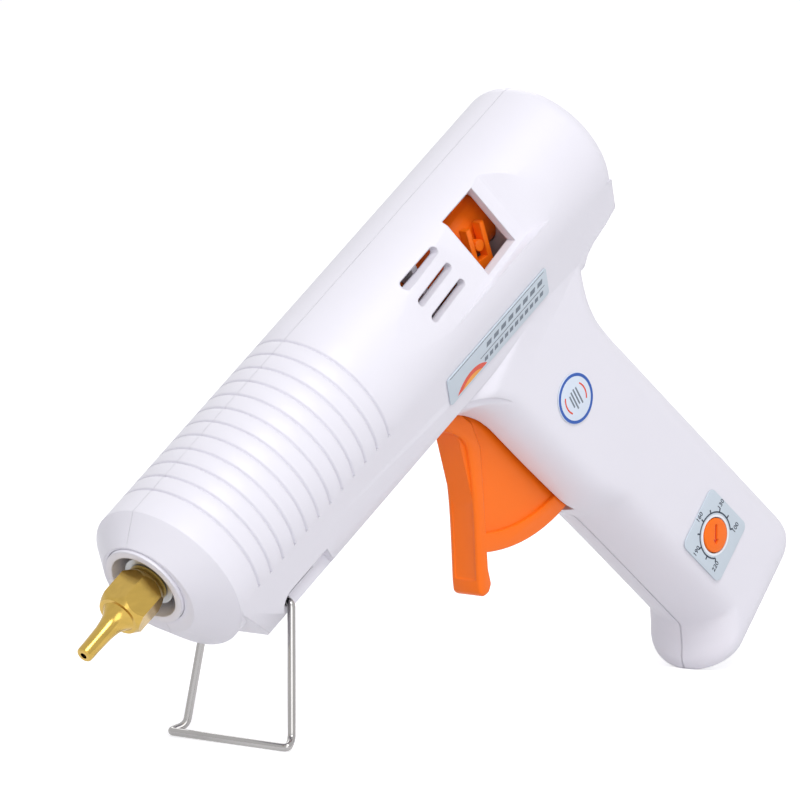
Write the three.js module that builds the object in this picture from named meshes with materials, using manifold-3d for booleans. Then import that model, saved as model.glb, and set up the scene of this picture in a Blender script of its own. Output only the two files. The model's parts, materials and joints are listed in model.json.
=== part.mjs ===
// A pistol-grip hot glue applicator, modelled as the separate pieces that it comes apart into.
// Gun frame: x = 0 at the nozzle tip and falls towards the rear, y is to the left, z = 0 on the barrel's axis.
// The whole gun is pitched nose down, as it stands on its wire foot and on the toe of its grip.
import * as THREE from 'three';
import { mergeVertices } from 'three/addons/utils/BufferGeometryUtils.js';
import Module from 'manifold-3d';

const wasm = await Module();
wasm.setup();

// Driving dimensions, in millimetres and degrees
const FIT = 0.3;
const CUT_OVER = 4;
const WALL = 2.4;
const BARREL_R = 22;
const BARREL_REAR = 208;
const BARREL_REAR_ROUND = 6;
const NOSE_BACK = 28;
const NOSE_R = 17;
const NOSE_CHAMFER = 8;
const FLANK_LEAN = 20;
const KEEL_DROP = 26.5;
const KEEL_FRONT = 44.5;
const KEEL_FRONT_RISE = 14;
const KEEL_EDGE = 2;
const TAIL_DROP = 22;
const CHIN_TUCK = 0.5;
const TAIL_START = 195;
const TAIL_RUN = 11;
const FEED_Z = 3.9;
const STICK_R = 5.6;
const STICK_PLAY = 0.7;
const INLET_R = 6.5;

const GROOVE_COUNT = 12;
const GROOVE_FIRST = 42.7;
const GROOVE_PITCH = 5.3;
const GROOVE_WIDTH = 1.3;
const GROOVE_DEPTH = 0.7;

const GRIP_RAKE = 16.64;
const GRIP_FRONT = 142.4;
const GRIP_LENGTH = 128.5;
const GRIP_DEPTH = 40;
const GRIP_HALF = 15.5;
const GRIP_FRONT_ROUND = 10;
const GRIP_BACK_ROUND = 9;
const GRIP_BACK_ROUND_Y = 12;
const TOE_REACH = 8.4;
const WEB_REACH = 16;
const BELLY_REACH = 12;

const PIVOT_BACK = 155;
const PIVOT_Z = -28;
const SECTOR_R = 50.8;
const SECTOR_START = 51;
const SECTOR_END = 98;
const SECTOR_RIM = 5.2;
const SECTOR_HALF = 3.9;
const TRIGGER_HALF = 5;
const TRIGGER_REACH = 38;
const TRIGGER_DROP = 47;
const TRIGGER_TRAVEL = 27;
const HUB_R = 6;
const AXLE_R = 2;
const FORK_HALF_IN = 9.3;
const FORK_THICK = 2.6;
const FORK_WIDTH = 7;
const FORK_OVER_PIN = 5.5;
const FORK_BRIDGE_Z = -12;

const CARRIAGE_R = 8.4;
const CARRIAGE_LENGTH = 56;
const CARRIAGE_BEHIND_PIN = 29;
const CARRIAGE_PIN_R = 1.6;
const JAW_WIDTH = 4;
const JAW_BACK = 6;
const JAW_LENGTH = 11.5;
const JAW_PIN_R = 1;
const EAR_THICK = 1.6;
const EAR_HEIGHT = 6;

const STAND_WIRE_R = 1.05;
const STAND_PIVOT = 54.1;
const STAND_PIVOT_Z = -23.3;
const STAND_FOOT = 26.8;
const STAND_FOOT_Z = -47.7;
const STAND_PIVOT_HALF = 14.2;
const STAND_FOOT_HALF = 20.8;
const STAND_PIN = 5;
const STAND_KICK = 4;
const STAND_BEND = 2.4;
const POCKET_LENGTH = 16;
const POCKET_HEIGHT = 8;
const POCKET_HALF = 12.6;

const NOZZLE_TIP_R = 2.1;
const NOZZLE_BORE_R = 0.9;
const NOZZLE_WAIST = 9;
const NOZZLE_WAIST_R = 3;
const HEX_FRONT = 14.5;
const HEX_BACK = 25.5;
const HEX_FLATS = 13.6;
const HEX_CHAMFER = 0.8;
const NECK_R = 4;
const NECK_BACK = 42;
const COLLAR_R = 12.1;
const COLLAR_BORE_R = 9.8;
const COLLAR_DEPTH = 8;
const COLLAR_PROUD = 1;

const CHAMBER_FRONT = 39;
const SNOUT_R = 7.2;
const CHAMBER_BACK = 92;
const CHAMBER_R = 10.5;
const CHAMBER_FLANGE_R = 12.5;
const CHAMBER_FLANGE = 2.5;
const STUB_R = 7.6;
const STUB_LENGTH = 9;
const HEATER_R = 3.3;
const HEATER_DROP = 13.5;
const HEATER_LENGTH = 44;
const SLEEVE_LENGTH = 22;
const SLEEVE_WALL = 1.8;
const SLEEVE_LIP_R = 5.9;
const BAND_WIDTH = 7;
const BAND_THICK = 0.8;
const CLAMP_WIDTH = 3;

const FACET_START = 118;
const FACET_REAR = 173;
const FACET_DEPTH = 4.6;
const FACET_LEAN = 21;
const STEP_RUN = 9;
const WINDOW_FRONT = 154.5;
const WINDOW_LENGTH = 14;
const WINDOW_LOW = 1.4;
const WINDOW_HIGH = 18.2;
const VENT_FRONT = 131;
const VENT_LENGTH = 16;
const VENT_WIDTH = 2.2;
const VENT_PITCH = 5.1;
const VENT_LOW = 5.6;
const VENT_COUNT = 3;
const SCOOP_R = 21.5;
const SCOOP_BACK = 129;
const SCOOP_Z = -46.5;
const SCOOP_TILT = 14;

const SCREW_R = 1.4;
const SCREW_HEAD_R = 2.7;
const SCREW_HEAD = 1.8;
const SCREW_LENGTH = 16;
const BOSS_R = 3.4;
const RIB = 2;

const LABEL = 0.35;
const LABEL_GAP = 0.1;
const NAME_LENGTH = 46;
const NAME_HEIGHT = 9.4;
const NAME_BACK = 149.4;
const NAME_DOWN_SHARE = 0.36;
const BADGE_R = 6.8;
const BADGE_U = 15.4;
const BADGE_V = 28.4;
const PLATE_SIDE = 18.6;
const PLATE_ROUND = 2;
const PLATE_U = 17.6;
const PLATE_V = 97.8;
const KNOB_R = 4.6;
const KNOB_THICK = 1.6;
const KNOB_SLOT = 1.1;
const POT_R = 7.2;
const POT_BACK_WALL = 1.4;
const SHAFT_R = 2;

const BOARD_Y = 5;
const BOARD_THICK = 1.6;
const BOARD_WIDTH = 27;
const BOARD_LENGTH = 37;
const BOARD_U = 6;
const BOARD_V = 71;
const LEAD_R = 0.9;
const LEAD_Y = 13.9;
const LEAD_GRIP_Y = 10;
const LEAD_Z = -14;
const DEVICE_LENGTH = 15;
const DEVICE_WIDTH = 10;
const DEVICE_THICK = 4.5;
const CAPACITOR_SIDE = 11;
const CAPACITOR_THICK = 6;
const TERMINAL_WIDTH = 16;
const TERMINAL_DEPTH = 7;
const TERMINAL_THICK = 8;
const POST_R = 2;
const GLAND_R = 6;
const GLAND_BORE_R = 3.6;
const GLAND_U = 14;
const GLAND_LIP = 1.6;
const GLAND_LENGTH = 13;
const SPRING_WIRE_R = 0.55;
const SPRING_R = 3.6;
const SPRING_TURNS = 3;
const SPRING_PITCH = 1.45;

// Facet counts
const ROUND = 48;
const MEDIUM = 28;
const SMALL = 12;
const WIRE_SIDES = 8;
const CORNER_STEPS = 4;
const ARC_STEPS = 12;
const STAND_STEPS = 90;
const LEAD_STEPS = 30;
const LEAD_SIDES = 6;
const SPRING_STEPS = 44;

const rad = THREE.MathUtils.degToRad;
const RAKE = rad(GRIP_RAKE);
const LEAN = rad(FLANK_LEAN);
const KEEL_HALF = BARREL_R / Math.cos(LEAN) - KEEL_DROP * Math.tan(LEAN);
const PIVOT_X = -PIVOT_BACK;
const ARM_LIFT = FEED_Z - PIVOT_Z;
const HALF_TRAVEL = rad(TRIGGER_TRAVEL) / 2;
const PIN_X = PIVOT_X - ARM_LIFT * Math.tan(HALF_TRAVEL);

// Geometry helpers: every shape becomes a closed solid that can be cut and joined
function solid(geometry, matrix) {
  const plain = geometry.clone();
  plain.deleteAttribute('normal');
  plain.deleteAttribute('uv');
  if (matrix) plain.applyMatrix4(matrix);
  const merged = mergeVertices(plain, 1e-4);
  const index = Array.from(merged.index.array);
  const kept = [];
  for (let i = 0; i < index.length; i += 3) {
    const [a, b, c] = index.slice(i, i + 3);
    if (a !== b && b !== c && a !== c) kept.push(a, b, c);
  }
  const points = merged.attributes.position.array;
  if (signedVolume(points, kept) < 0) kept.reverse();
  return new wasm.Manifold(new wasm.Mesh({
    numProp: 3, vertProperties: new Float32Array(points), triVerts: new Uint32Array(kept),
  }));
}

function signedVolume(points, index) {
  let volume = 0;
  const [a, b, c] = [new THREE.Vector3(), new THREE.Vector3(), new THREE.Vector3()];
  for (let i = 0; i < index.length; i += 3) {
    a.fromArray(points, 3 * index[i]);
    b.fromArray(points, 3 * index[i + 1]);
    c.fromArray(points, 3 * index[i + 2]);
    volume += a.dot(b.cross(c));
  }
  return volume;
}

function joined(...solids) {
  return solids.reduce((all, one) => all.add(one));
}

function without(base, ...solids) {
  return solids.reduce((left, one) => left.subtract(one), base);
}

// A box given by its lowest and highest corners
function box(low, high) {
  const size = high.map((value, i) => value - low[i]);
  const middle = high.map((value, i) => (value + low[i]) / 2);
  return solid(new THREE.BoxGeometry(...size), new THREE.Matrix4().makeTranslation(...middle));
}

// A cylinder along y from yLow to yHigh, at x and z
function alongY(x, z, radius, yLow, yHigh, sides = SMALL) {
  const geometry = new THREE.CylinderGeometry(radius, radius, yHigh - yLow, sides);
  return solid(geometry, new THREE.Matrix4().makeTranslation(x, (yLow + yHigh) / 2, z));
}

// A solid of revolution about a line along x at height z, from [x, radius] points listed front to rear
function turned(profile, z = 0, sides = ROUND) {
  const ends = [[profile[0][0], 0], ...profile, [profile[profile.length - 1][0], 0]];
  const geometry = new THREE.LatheGeometry(ends.map(([x, r]) => new THREE.Vector2(r, x)), sides);
  const place = new THREE.Matrix4().makeTranslation(0, 0, z);
  return solid(geometry, place.multiply(new THREE.Matrix4().makeRotationZ(-Math.PI / 2)));
}

// A ring of revolution with a bore, from x front to x rear
function ring(front, rear, outer, bore, z = FEED_Z, sides = MEDIUM) {
  const over = CUT_OVER;
  return turned([[front, outer], [rear, outer]], z, sides)
    .subtract(turned([[front + over, bore], [rear - over, bore]], z, sides));
}

// An outline of [x, z] points extruded along y
function slabY(points, yLow, yHigh) {
  const shape = new THREE.Shape(points.map(([x, z]) => new THREE.Vector2(x, z)));
  const geometry = new THREE.ExtrudeGeometry(shape, { depth: yHigh - yLow, bevelEnabled: false });
  const place = new THREE.Matrix4().makeTranslation(0, yHigh, 0);
  return solid(geometry, place.multiply(new THREE.Matrix4().makeRotationX(Math.PI / 2)));
}

// An outline of [y, z] points extruded along x
function slabX(points, xLow, xHigh) {
  const shape = new THREE.Shape(points.map(([y, z]) => new THREE.Vector2(y, z)));
  const geometry = new THREE.ExtrudeGeometry(shape, { depth: xHigh - xLow, bevelEnabled: false });
  const axes = new THREE.Matrix4().makeBasis(
    new THREE.Vector3(0, 1, 0), new THREE.Vector3(0, 0, 1), new THREE.Vector3(1, 0, 0));
  return solid(geometry, new THREE.Matrix4().makeTranslation(xLow, 0, 0).multiply(axes));
}

// A round wire along a path
function wire(path, radius, steps, sides = WIRE_SIDES) {
  const section = new THREE.Shape();
  for (let i = 0; i < sides; i += 1) {
    const angle = 2 * Math.PI * i / sides;
    const point = [radius * Math.cos(angle), radius * Math.sin(angle)];
    if (i === 0) section.moveTo(...point);
    else section.lineTo(...point);
  }
  return solid(new THREE.ExtrudeGeometry(section, { steps, extrudePath: path, bevelEnabled: false }));
}

// A path of straight runs whose corners are rounded to a bend
function bentPath(corners, bend) {
  const path = new THREE.CurvePath();
  const points = corners.map((corner) => new THREE.Vector3(...corner));
  let from = points[0];
  for (let i = 1; i < points.length - 1; i += 1) {
    const before = points[i - 1].clone().sub(points[i]).setLength(bend).add(points[i]);
    const after = points[i + 1].clone().sub(points[i]).setLength(bend).add(points[i]);
    path.add(new THREE.LineCurve3(from, before));
    path.add(new THREE.QuadraticBezierCurve3(before, points[i], after));
    from = after;
  }
  path.add(new THREE.LineCurve3(from, points[points.length - 1]));
  return path;
}

function arcPoints(x, z, radius, fromDegrees, toDegrees, steps) {
  return Array.from({ length: steps + 1 }, (_, i) => {
    const angle = rad(fromDegrees + (toDegrees - fromDegrees) * i / steps);
    return [x + radius * Math.cos(angle), z + radius * Math.sin(angle)];
  });
}

// Finished meshes, one for each piece
const gun = new THREE.Group();

function piece(name, body, finish) {
  const mesh = body.getMesh();
  const geometry = new THREE.BufferGeometry();
  geometry.setAttribute('position', new THREE.BufferAttribute(mesh.vertProperties, 3));
  geometry.setIndex(new THREE.BufferAttribute(mesh.triVerts, 1));
  const made = new THREE.Mesh(geometry, new THREE.MeshStandardMaterial(finish));
  made.name = name;
  gun.add(made);
}

const WHITE = { color: 0xe9e7ee, roughness: 0.42, metalness: 0 };
const ORANGE = { color: 0xff6a18, roughness: 0.38, metalness: 0 };
const BRASS = { color: 0xc9a227, roughness: 0.25, metalness: 1 };
const CHROME = { color: 0xc8c8c8, roughness: 0.2, metalness: 1 };
const STEEL = { color: 0x9a9da1, roughness: 0.35, metalness: 1 };
const ALUMINIUM = { color: 0xb4b7bb, roughness: 0.45, metalness: 1 };
const SILICONE = { color: 0xb5432f, roughness: 0.7, metalness: 0 };
const CERAMIC = { color: 0xefe9dc, roughness: 0.8, metalness: 0 };
const BLACK = { color: 0x1d1d1f, roughness: 0.6, metalness: 0 };
const BOARD_GREEN = { color: 0x2f6b3a, roughness: 0.5, metalness: 0 };
const LABEL_BLUE = { color: 0xc3d0da, roughness: 0.5, metalness: 0 };
const RING_BLUE = { color: 0x1f56a8, roughness: 0.4, metalness: 0 };

// Grip frame: u runs back from the straight front line, v runs down along the grip
function grip(u, v) {
  const x = -GRIP_FRONT - u * Math.cos(RAKE) - v * Math.sin(RAKE);
  const z = -KEEL_DROP + u * Math.sin(RAKE) - v * Math.cos(RAKE);
  return [x, z];
}

// One cross-section of the grip: a nose of half an ellipse in front, flat sides and a blunter back
function gripSection(v, front, back, half) {
  const points = [];
  const frontRound = Math.min(GRIP_FRONT_ROUND, (back - front) / 2);
  const backRound = Math.min(GRIP_BACK_ROUND, (back - front) / 2);
  const backHalf = Math.min(GRIP_BACK_ROUND_Y, half);
  const steps = CORNER_STEPS;
  for (let i = 0; i <= steps; i += 1) {
    const angle = Math.PI / 2 * i / steps;
    points.push([front + frontRound * (1 - Math.cos(angle)), half * Math.sin(angle)]);
  }
  for (let i = 0; i <= steps; i += 1) {
    const angle = Math.PI / 2 * i / steps;
    points.push([back - backRound * (1 - Math.sin(angle)), half - backHalf * (1 - Math.cos(angle))]);
  }
  const mirrored = points.slice(1).reverse().map(([u, y]) => [u, -y]);
  return [...points, ...mirrored].map(([u, y]) => {
    const [x, z] = grip(u, v);
    return new THREE.Vector3(x, y, z);
  });
}

// A solid skin over a stack of sections that have the same number of points
function lofted(sections) {
  const count = sections[0].length;
  const points = sections.flat();
  const index = [];
  for (let s = 0; s + 1 < sections.length; s += 1) {
    for (let i = 0; i < count; i += 1) {
      const a = s * count + i;
      const b = s * count + (i + 1) % count;
      index.push(a, b, b + count, a, b + count, a + count);
    }
  }
  for (const [s, flip] of [[0, true], [sections.length - 1, false]]) {
    const middle = new THREE.Vector3();
    sections[s].forEach((point) => middle.add(point));
    points.push(middle.divideScalar(count));
    for (let i = 0; i < count; i += 1) {
      const a = s * count + i;
      const b = s * count + (i + 1) % count;
      index.push(points.length - 1, flip ? b : a, flip ? a : b);
    }
  }
  const geometry = new THREE.BufferGeometry().setFromPoints(points);
  geometry.setIndex(index);
  return solid(geometry);
}

// Stations down the grip: [share of its length, share of the reach in front, share of the reach behind,
// share of its half width]. The front reach is the belly's, then the slot lip's, then the toe's.
const GRIP_STATION_SHARES = [
  [-0.11, -0.7, 0.55, 0.84],
  [-0.015, -1, 1, 0.9],
  [0.021, -0.7, 0.9, 1],
  [0.06, -0.5, 0.62, 1],
  [0.09, -0.41, 0.4, 1],
  [0.125, -0.37, 0.22, 1],
  [0.17, -0.37, 0.1, 1],
  [0.22, -0.37, 0.03, 1],
  [0.29, -0.36, 0, 1],
  [0.39, -0.33, 0, 1],
  [0.45, -0.2, 0, 1],
  [0.5, -0.02, 0, 1],
  [0.7, 0, 0, 1],
  [0.905, 0, 0, 1],
  [0.94, -0.3, 0, 1],
  [0.965, -0.62, -0.01, 0.985],
  [0.982, -0.7, -0.08, 0.94],
  [0.994, -0.6, -0.25, 0.86],
  [1, -0.36, -0.45, 0.74],
];

// The stations that the grip keeps when its skin moves in, and how far down the last one lies
function gripStations(inset) {
  return GRIP_STATION_SHARES.filter(([down]) => inset === 0 || down * GRIP_LENGTH <= GRIP_LENGTH - 1.6 * inset);
}

function gripFloor(inset) {
  return gripStations(inset).pop()[0] * GRIP_LENGTH;
}

function gripBody(inset) {
  return lofted(gripStations(inset).map(([down, front, back, wide]) => gripSection(
    down * GRIP_LENGTH,
    front * (down > 0.7 ? TOE_REACH / 0.7 : BELLY_REACH) + inset,
    GRIP_DEPTH + back * WEB_REACH - inset,
    wide * GRIP_HALF - inset,
  )));
}

// The round barrel with its ring grooves, chamfered nose and rounded rear
function barrelBody() {
  const profile = [[-NOSE_BACK, NOSE_R], [-NOSE_BACK - NOSE_CHAMFER, BARREL_R]];
  for (let i = 0; i < GROOVE_COUNT; i += 1) {
    const x = -GROOVE_FIRST - i * GROOVE_PITCH;
    profile.push([x + GROOVE_WIDTH / 2, BARREL_R]);
    profile.push([x, BARREL_R - GROOVE_DEPTH]);
    profile.push([x - GROOVE_WIDTH / 2, BARREL_R]);
  }
  const roundX = -BARREL_REAR + BARREL_REAR_ROUND;
  const roundR = BARREL_R - BARREL_REAR_ROUND;
  profile.push(...arcPoints(roundX, roundR, BARREL_REAR_ROUND, 90, 180, 4));
  return turned(profile);
}

// The leaning flanks and flat keel under the barrel, from x front to x rear
function flankPrism(front, rear, drop, inset) {
  const reach = BARREL_R - inset;
  const floor = drop - inset;
  const high = [reach * Math.cos(LEAN), -reach * Math.sin(LEAN)];
  const lowHalf = reach / Math.cos(LEAN) - floor * Math.tan(LEAN);
  const edge = KEEL_EDGE;
  const right = [high, [lowHalf + edge * Math.tan(LEAN), -floor + edge], [lowHalf - edge, -floor]];
  const left = right.map(([y, z]) => [-y, z]).reverse();
  return slabX([...right, ...left], rear, front);
}

function keelBody(inset) {
  const long = flankPrism(-NOSE_BACK - inset, -BARREL_REAR + BARREL_REAR_ROUND / 2 + inset, KEEL_DROP, inset);
  const tailCut = slabY([
    [-TAIL_START + TAIL_RUN, -KEEL_DROP + inset],
    [-TAIL_START, -TAIL_DROP + inset],
    [-BARREL_REAR - CUT_OVER, -TAIL_DROP + inset],
    [-BARREL_REAR - CUT_OVER, -KEEL_DROP - CUT_OVER],
    [-TAIL_START + TAIL_RUN, -KEEL_DROP - CUT_OVER],
  ], -2 * BARREL_R, 2 * BARREL_R);
  const noseCut = slabY([
    [-KEEL_FRONT - inset, -KEEL_DROP],
    [-KEEL_FRONT - inset, -KEEL_DROP - CUT_OVER],
    [CUT_OVER, -KEEL_DROP - CUT_OVER],
    [CUT_OVER, -KEEL_DROP + KEEL_FRONT_RISE * 2],
    [-NOSE_BACK - inset, -KEEL_DROP + KEEL_FRONT_RISE * 2],
    [-NOSE_BACK - NOSE_CHAMFER - inset, -KEEL_DROP + KEEL_FRONT_RISE],
  ], -2 * BARREL_R, 2 * BARREL_R);
  const cornerR = Math.hypot(KEEL_HALF, KEEL_DROP);
  const cornerCone = turned([
    [-NOSE_BACK - inset, NOSE_R - CHIN_TUCK],
    [-NOSE_BACK - NOSE_CHAMFER - inset, BARREL_R - CHIN_TUCK],
    [-KEEL_FRONT - inset, cornerR],
    [-BARREL_REAR - CUT_OVER, cornerR],
  ]);
  return without(long, noseCut, tailCut).intersect(cornerCone);
}

// Barrel, keel and grip as one mass, without its hollow
const mass = joined(barrelBody(), keelBody(0), gripBody(0));

// The leaning facet cut into the left side, with the slanted step behind it and the ledge below it
function facetCut() {
  const lean = rad(FACET_LEAN);
  const normal = [Math.cos(lean), Math.sin(lean)];
  const along = [-Math.sin(lean), Math.cos(lean)];
  const far = 2 * BARREL_R;
  const corner = (x, reach, rise) => new THREE.Vector3(
    x, normal[0] * reach + along[0] * rise, normal[1] * reach + along[1] * rise);
  const stations = [
    [-FACET_START, BARREL_R],
    [-FACET_REAR, BARREL_R - FACET_DEPTH],
    [-FACET_REAR - STEP_RUN, BARREL_R + FIT],
  ];
  const low = -Math.tan(lean) * BARREL_R;
  const sections = stations.map(([x, reach]) => [
    corner(x, reach, low), corner(x, far, low), corner(x, far, far), corner(x, reach, far)]);
  return lofted(sections).intersect(box([-BARREL_REAR, 0, 0], [0, far, far]));
}

// A rounded slot along x, cut in the direction of the facet's normal
function facetOpening(front, length, low, high, round) {
  const [x0, x1] = [-front - length, -front];
  const points = round
    ? [...arcPoints(x1 - round, (low + high) / 2, round, -90, 90, 6),
      ...arcPoints(x0 + round, (low + high) / 2, round, 90, 270, 6)]
    : [[x0, low], [x1, low], [x1, high], [x0, high]];
  return slabY(points, BARREL_R / 2 + CUT_OVER / 4, 2 * BARREL_R);
}

function vents(side) {
  const cuts = [];
  for (let i = 0; i < VENT_COUNT; i += 1) {
    const low = VENT_LOW - VENT_WIDTH / 2 + i * VENT_PITCH;
    cuts.push(facetOpening(VENT_FRONT, VENT_LENGTH, low, low + VENT_WIDTH, VENT_WIDTH / 2));
  }
  const all = joined(...cuts);
  return side > 0 ? all : all.mirror([0, 1, 0]);
}

// The hollow inside the shells; the facet's wall is kept by taking the facet, moved in, out of the hollow
function hollowBody(inset) {
  const tube = turned([
    [-NOSE_BACK - NOSE_CHAMFER - inset, BARREL_R - inset],
    [-BARREL_REAR + inset + BARREL_REAR_ROUND / 2, BARREL_R - inset],
    [-BARREL_REAR + inset, BARREL_R - inset - BARREL_REAR_ROUND / 2],
  ]);
  const whole = joined(tube, keelBody(inset), gripBody(inset));
  return whole.subtract(facetCut().translate([0, -inset, -inset / 2]));
}

// What stands in from the shells is rooted halfway into their wall
const rooted = hollowBody(WALL / 2);

// Screws: [share of the way from nose to rear or along the grip, place]
const SCREW_PLACES = [
  [-KEEL_FRONT - POCKET_LENGTH - 2.6 * BOSS_R, -KEEL_DROP + WALL + BOSS_R + FIT],
  [-FACET_START + BOSS_R, -KEEL_DROP + WALL + BOSS_R + FIT],
  [-BARREL_REAR + WALL + 2.4 * BOSS_R, BARREL_R - WALL - 2 * BOSS_R],
  [-BARREL_REAR + WALL + 2 * BOSS_R, -BARREL_R + WALL + 2.4 * BOSS_R],
  grip(GRIP_DEPTH - WALL - BOSS_R, 2 * WEB_REACH - BOSS_R),
  grip(GRIP_DEPTH / 3, GRIP_LENGTH / 2 + 1.2),
  grip(GRIP_DEPTH - WALL - BOSS_R, GRIP_LENGTH - 4 * BOSS_R),
];

function screwBosses() {
  const far = 2 * BARREL_R;
  const posts = SCREW_PLACES.map(([x, z]) => alongY(x, z, BOSS_R, -far, far, SMALL));
  return joined(...posts).intersect(rooted);
}

// Plates that stand in from the shell and carry the melt chamber and the feed carriage
function ribs() {
  const half = CARRIAGE_R + EAR_THICK * 2;
  const far = 2 * BARREL_R;
  const chamberRibs = [CHAMBER_FRONT + CHAMBER_FLANGE, CHAMBER_BACK - CHAMBER_FLANGE - RIB - 2 * FIT].map((x) => box(
    [-x - FIT - RIB, -far, -far], [-x - FIT, far, far]));
  const guides = [[VENT_FRONT + RIB * 4, far], [FACET_REAR, BARREL_R]].map(([x, drop]) => box(
    [-x - RIB, -half, -drop], [-x, half, far]));
  const chamberHole = turned([[0, CHAMBER_R + FIT], [-FACET_START, CHAMBER_R + FIT]], FEED_Z, MEDIUM);
  const heaterHole = box(
    [-FACET_START, -HEATER_R - WALL, FEED_Z - HEATER_DROP - HEATER_R - WALL],
    [0, HEATER_R + WALL, 0]);
  const guideHole = turned([
    [-FACET_START, CARRIAGE_R + FIT], [-BARREL_REAR, CARRIAGE_R + FIT]], FEED_Z, MEDIUM);
  const leads = box([-FACET_START, -far, -far], [0, far, -KEEL_DROP / 2]);
  return joined(
    joined(...chamberRibs).intersect(rooted).subtract(chamberHole).subtract(heaterHole).subtract(leads),
    joined(...guides).intersect(rooted).subtract(guideHole));
}

const hollow = hollowBody(WALL);
const triggerHalfGap = TRIGGER_HALF + 0.6;
const hubBossFrom = HUB_R + FIT;

// Everything that both shells share, before they are split at y = 0
function shellStock() {
  const far = 2 * BARREL_R;
  const trimmed = mass.subtract(hollow);
  const hubBoss = alongY(PIVOT_X, PIVOT_Z, 2.4 * AXLE_R, -far, far).intersect(rooted);
  const hubRoom = alongY(PIVOT_X, PIVOT_Z, 4 * AXLE_R, -far, far)
    .intersect(box([-BARREL_REAR, -2 * hubBossFrom + FIT, -far], [0, hubBossFrom, far]));
  let stock = joined(trimmed, screwBosses(), ribs(), hubBoss.subtract(hubRoom));
  const slot = alongY(PIVOT_X, PIVOT_Z, SECTOR_R + 2.2, -triggerHalfGap, triggerHalfGap, ROUND)
    .intersect(box([-PIVOT_BACK - HUB_R * 2.8, -far, -4 * KEEL_DROP], [-GRIP_FRONT + 19, far, -KEEL_DROP + 6]));
  const scoop = alongY(0, 0, SCOOP_R, 0, BARREL_R, ROUND)
    .rotate([0, 0, -SCOOP_TILT]).translate([-SCOOP_BACK, GRIP_HALF - SCOOP_R * Math.sin(rad(SCOOP_TILT)), SCOOP_Z]);
  const pocket = slabY([
    [-STAND_PIVOT + POCKET_HEIGHT / 2, STAND_PIVOT_Z - POCKET_HEIGHT],
    [-STAND_PIVOT + POCKET_HEIGHT / 2, STAND_PIVOT_Z],
    ...arcPoints(-STAND_PIVOT, STAND_PIVOT_Z, POCKET_HEIGHT / 2, 0, 90, 4),
    [-STAND_PIVOT - POCKET_LENGTH, STAND_PIVOT_Z + POCKET_HEIGHT / 2],
    [-STAND_PIVOT - POCKET_LENGTH - POCKET_HEIGHT / 2, STAND_PIVOT_Z - POCKET_HEIGHT],
  ], POCKET_HALF, far);
  const cuts = [
    slot, pocket, pocket.mirror([0, 1, 0]),
    alongY(-STAND_PIVOT, STAND_PIVOT_Z, STAND_WIRE_R + FIT, -far, far, WIRE_SIDES),
    alongY(PIVOT_X, PIVOT_Z, AXLE_R + FIT, -GRIP_HALF + WALL, GRIP_HALF - WALL),
    turned([[0, COLLAR_R + FIT], [-NOSE_BACK - COLLAR_DEPTH, COLLAR_R + FIT]], FEED_Z, MEDIUM),
    turned([[-NOSE_BACK, COLLAR_BORE_R], [-NOSE_BACK - NOSE_CHAMFER - 2 * WALL, COLLAR_BORE_R]], FEED_Z, MEDIUM),
    turned([[-BARREL_REAR / 1.1, INLET_R], [-BARREL_REAR - CUT_OVER, INLET_R]], FEED_Z, MEDIUM),
    glandHole(),
  ];
  for (const [x, z] of SCREW_PLACES) {
    cuts.push(alongY(x, z, SCREW_R + FIT, -far, SCREW_LENGTH / 2, SMALL));
    cuts.push(alongY(x, z, SCREW_HEAD_R + FIT, -far, -SCREW_LENGTH / 2, SMALL));
  }
  return { stock: without(stock, ...cuts), scoop };
}

// A solid of revolution about a line down the grip at u, from [v, radius] points listed from the top
function gripTurned(u, profile) {
  const ends = [[profile[0][0], 0], ...profile, [profile[profile.length - 1][0], 0]];
  const geometry = new THREE.LatheGeometry(ends.map(([v, r]) => new THREE.Vector2(r, v)), MEDIUM);
  const across = new THREE.Vector3(0, 1, 0);
  const down = new THREE.Vector3(-Math.sin(RAKE), 0, -Math.cos(RAKE));
  const [x, z] = grip(u, 0);
  const axes = new THREE.Matrix4().makeBasis(across, down, across.clone().cross(down));
  return solid(geometry, new THREE.Matrix4().makeTranslation(x, 0, z).multiply(axes));
}

// The lead inlet's hole, along the grip's axis through the butt
function glandHole() {
  const radius = GLAND_R + FIT;
  return gripTurned(GLAND_U, [[GRIP_LENGTH - 6 * WALL, radius], [GRIP_LENGTH + CUT_OVER, radius]]);
}

const { stock, scoop } = shellStock();
const far = 4 * BARREL_R;
const leftHalf = box([-2 * BARREL_REAR, FIT / 2, -BARREL_REAR], [far, far, BARREL_REAR]);
const rightHalf = box([-2 * BARREL_REAR, -far, -BARREL_REAR], [far, -FIT / 2, BARREL_REAR]);
const [plateX, plateZ] = grip(PLATE_U, PLATE_V);
const window = facetOpening(WINDOW_FRONT, WINDOW_LENGTH, WINDOW_LOW, WINDOW_HIGH, 0);
piece('housing_left', without(
  stock.intersect(leftHalf), facetCut(), window, vents(1), scoop,
  alongY(plateX, plateZ, KNOB_R + FIT, 0, far, MEDIUM)), WHITE);
const posts = [grip(BOARD_U + POST_R * 2, BOARD_V + POST_R * 2), grip(BOARD_U + BOARD_WIDTH / 2, BOARD_V + POST_R)]
  .map(([x, z]) => alongY(x, z, POST_R, -GRIP_HALF + WALL / 2, BOARD_Y - FIT));
piece('housing_right', joined(without(
  stock.intersect(rightHalf), vents(-1), scoop.mirror([0, 1, 0])), ...posts), WHITE);

// Nose, nozzle and melt chamber
piece('nose_collar', ring(
  -NOSE_BACK + COLLAR_PROUD, -NOSE_BACK - COLLAR_DEPTH + FIT, COLLAR_R, COLLAR_BORE_R), WHITE);

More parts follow.
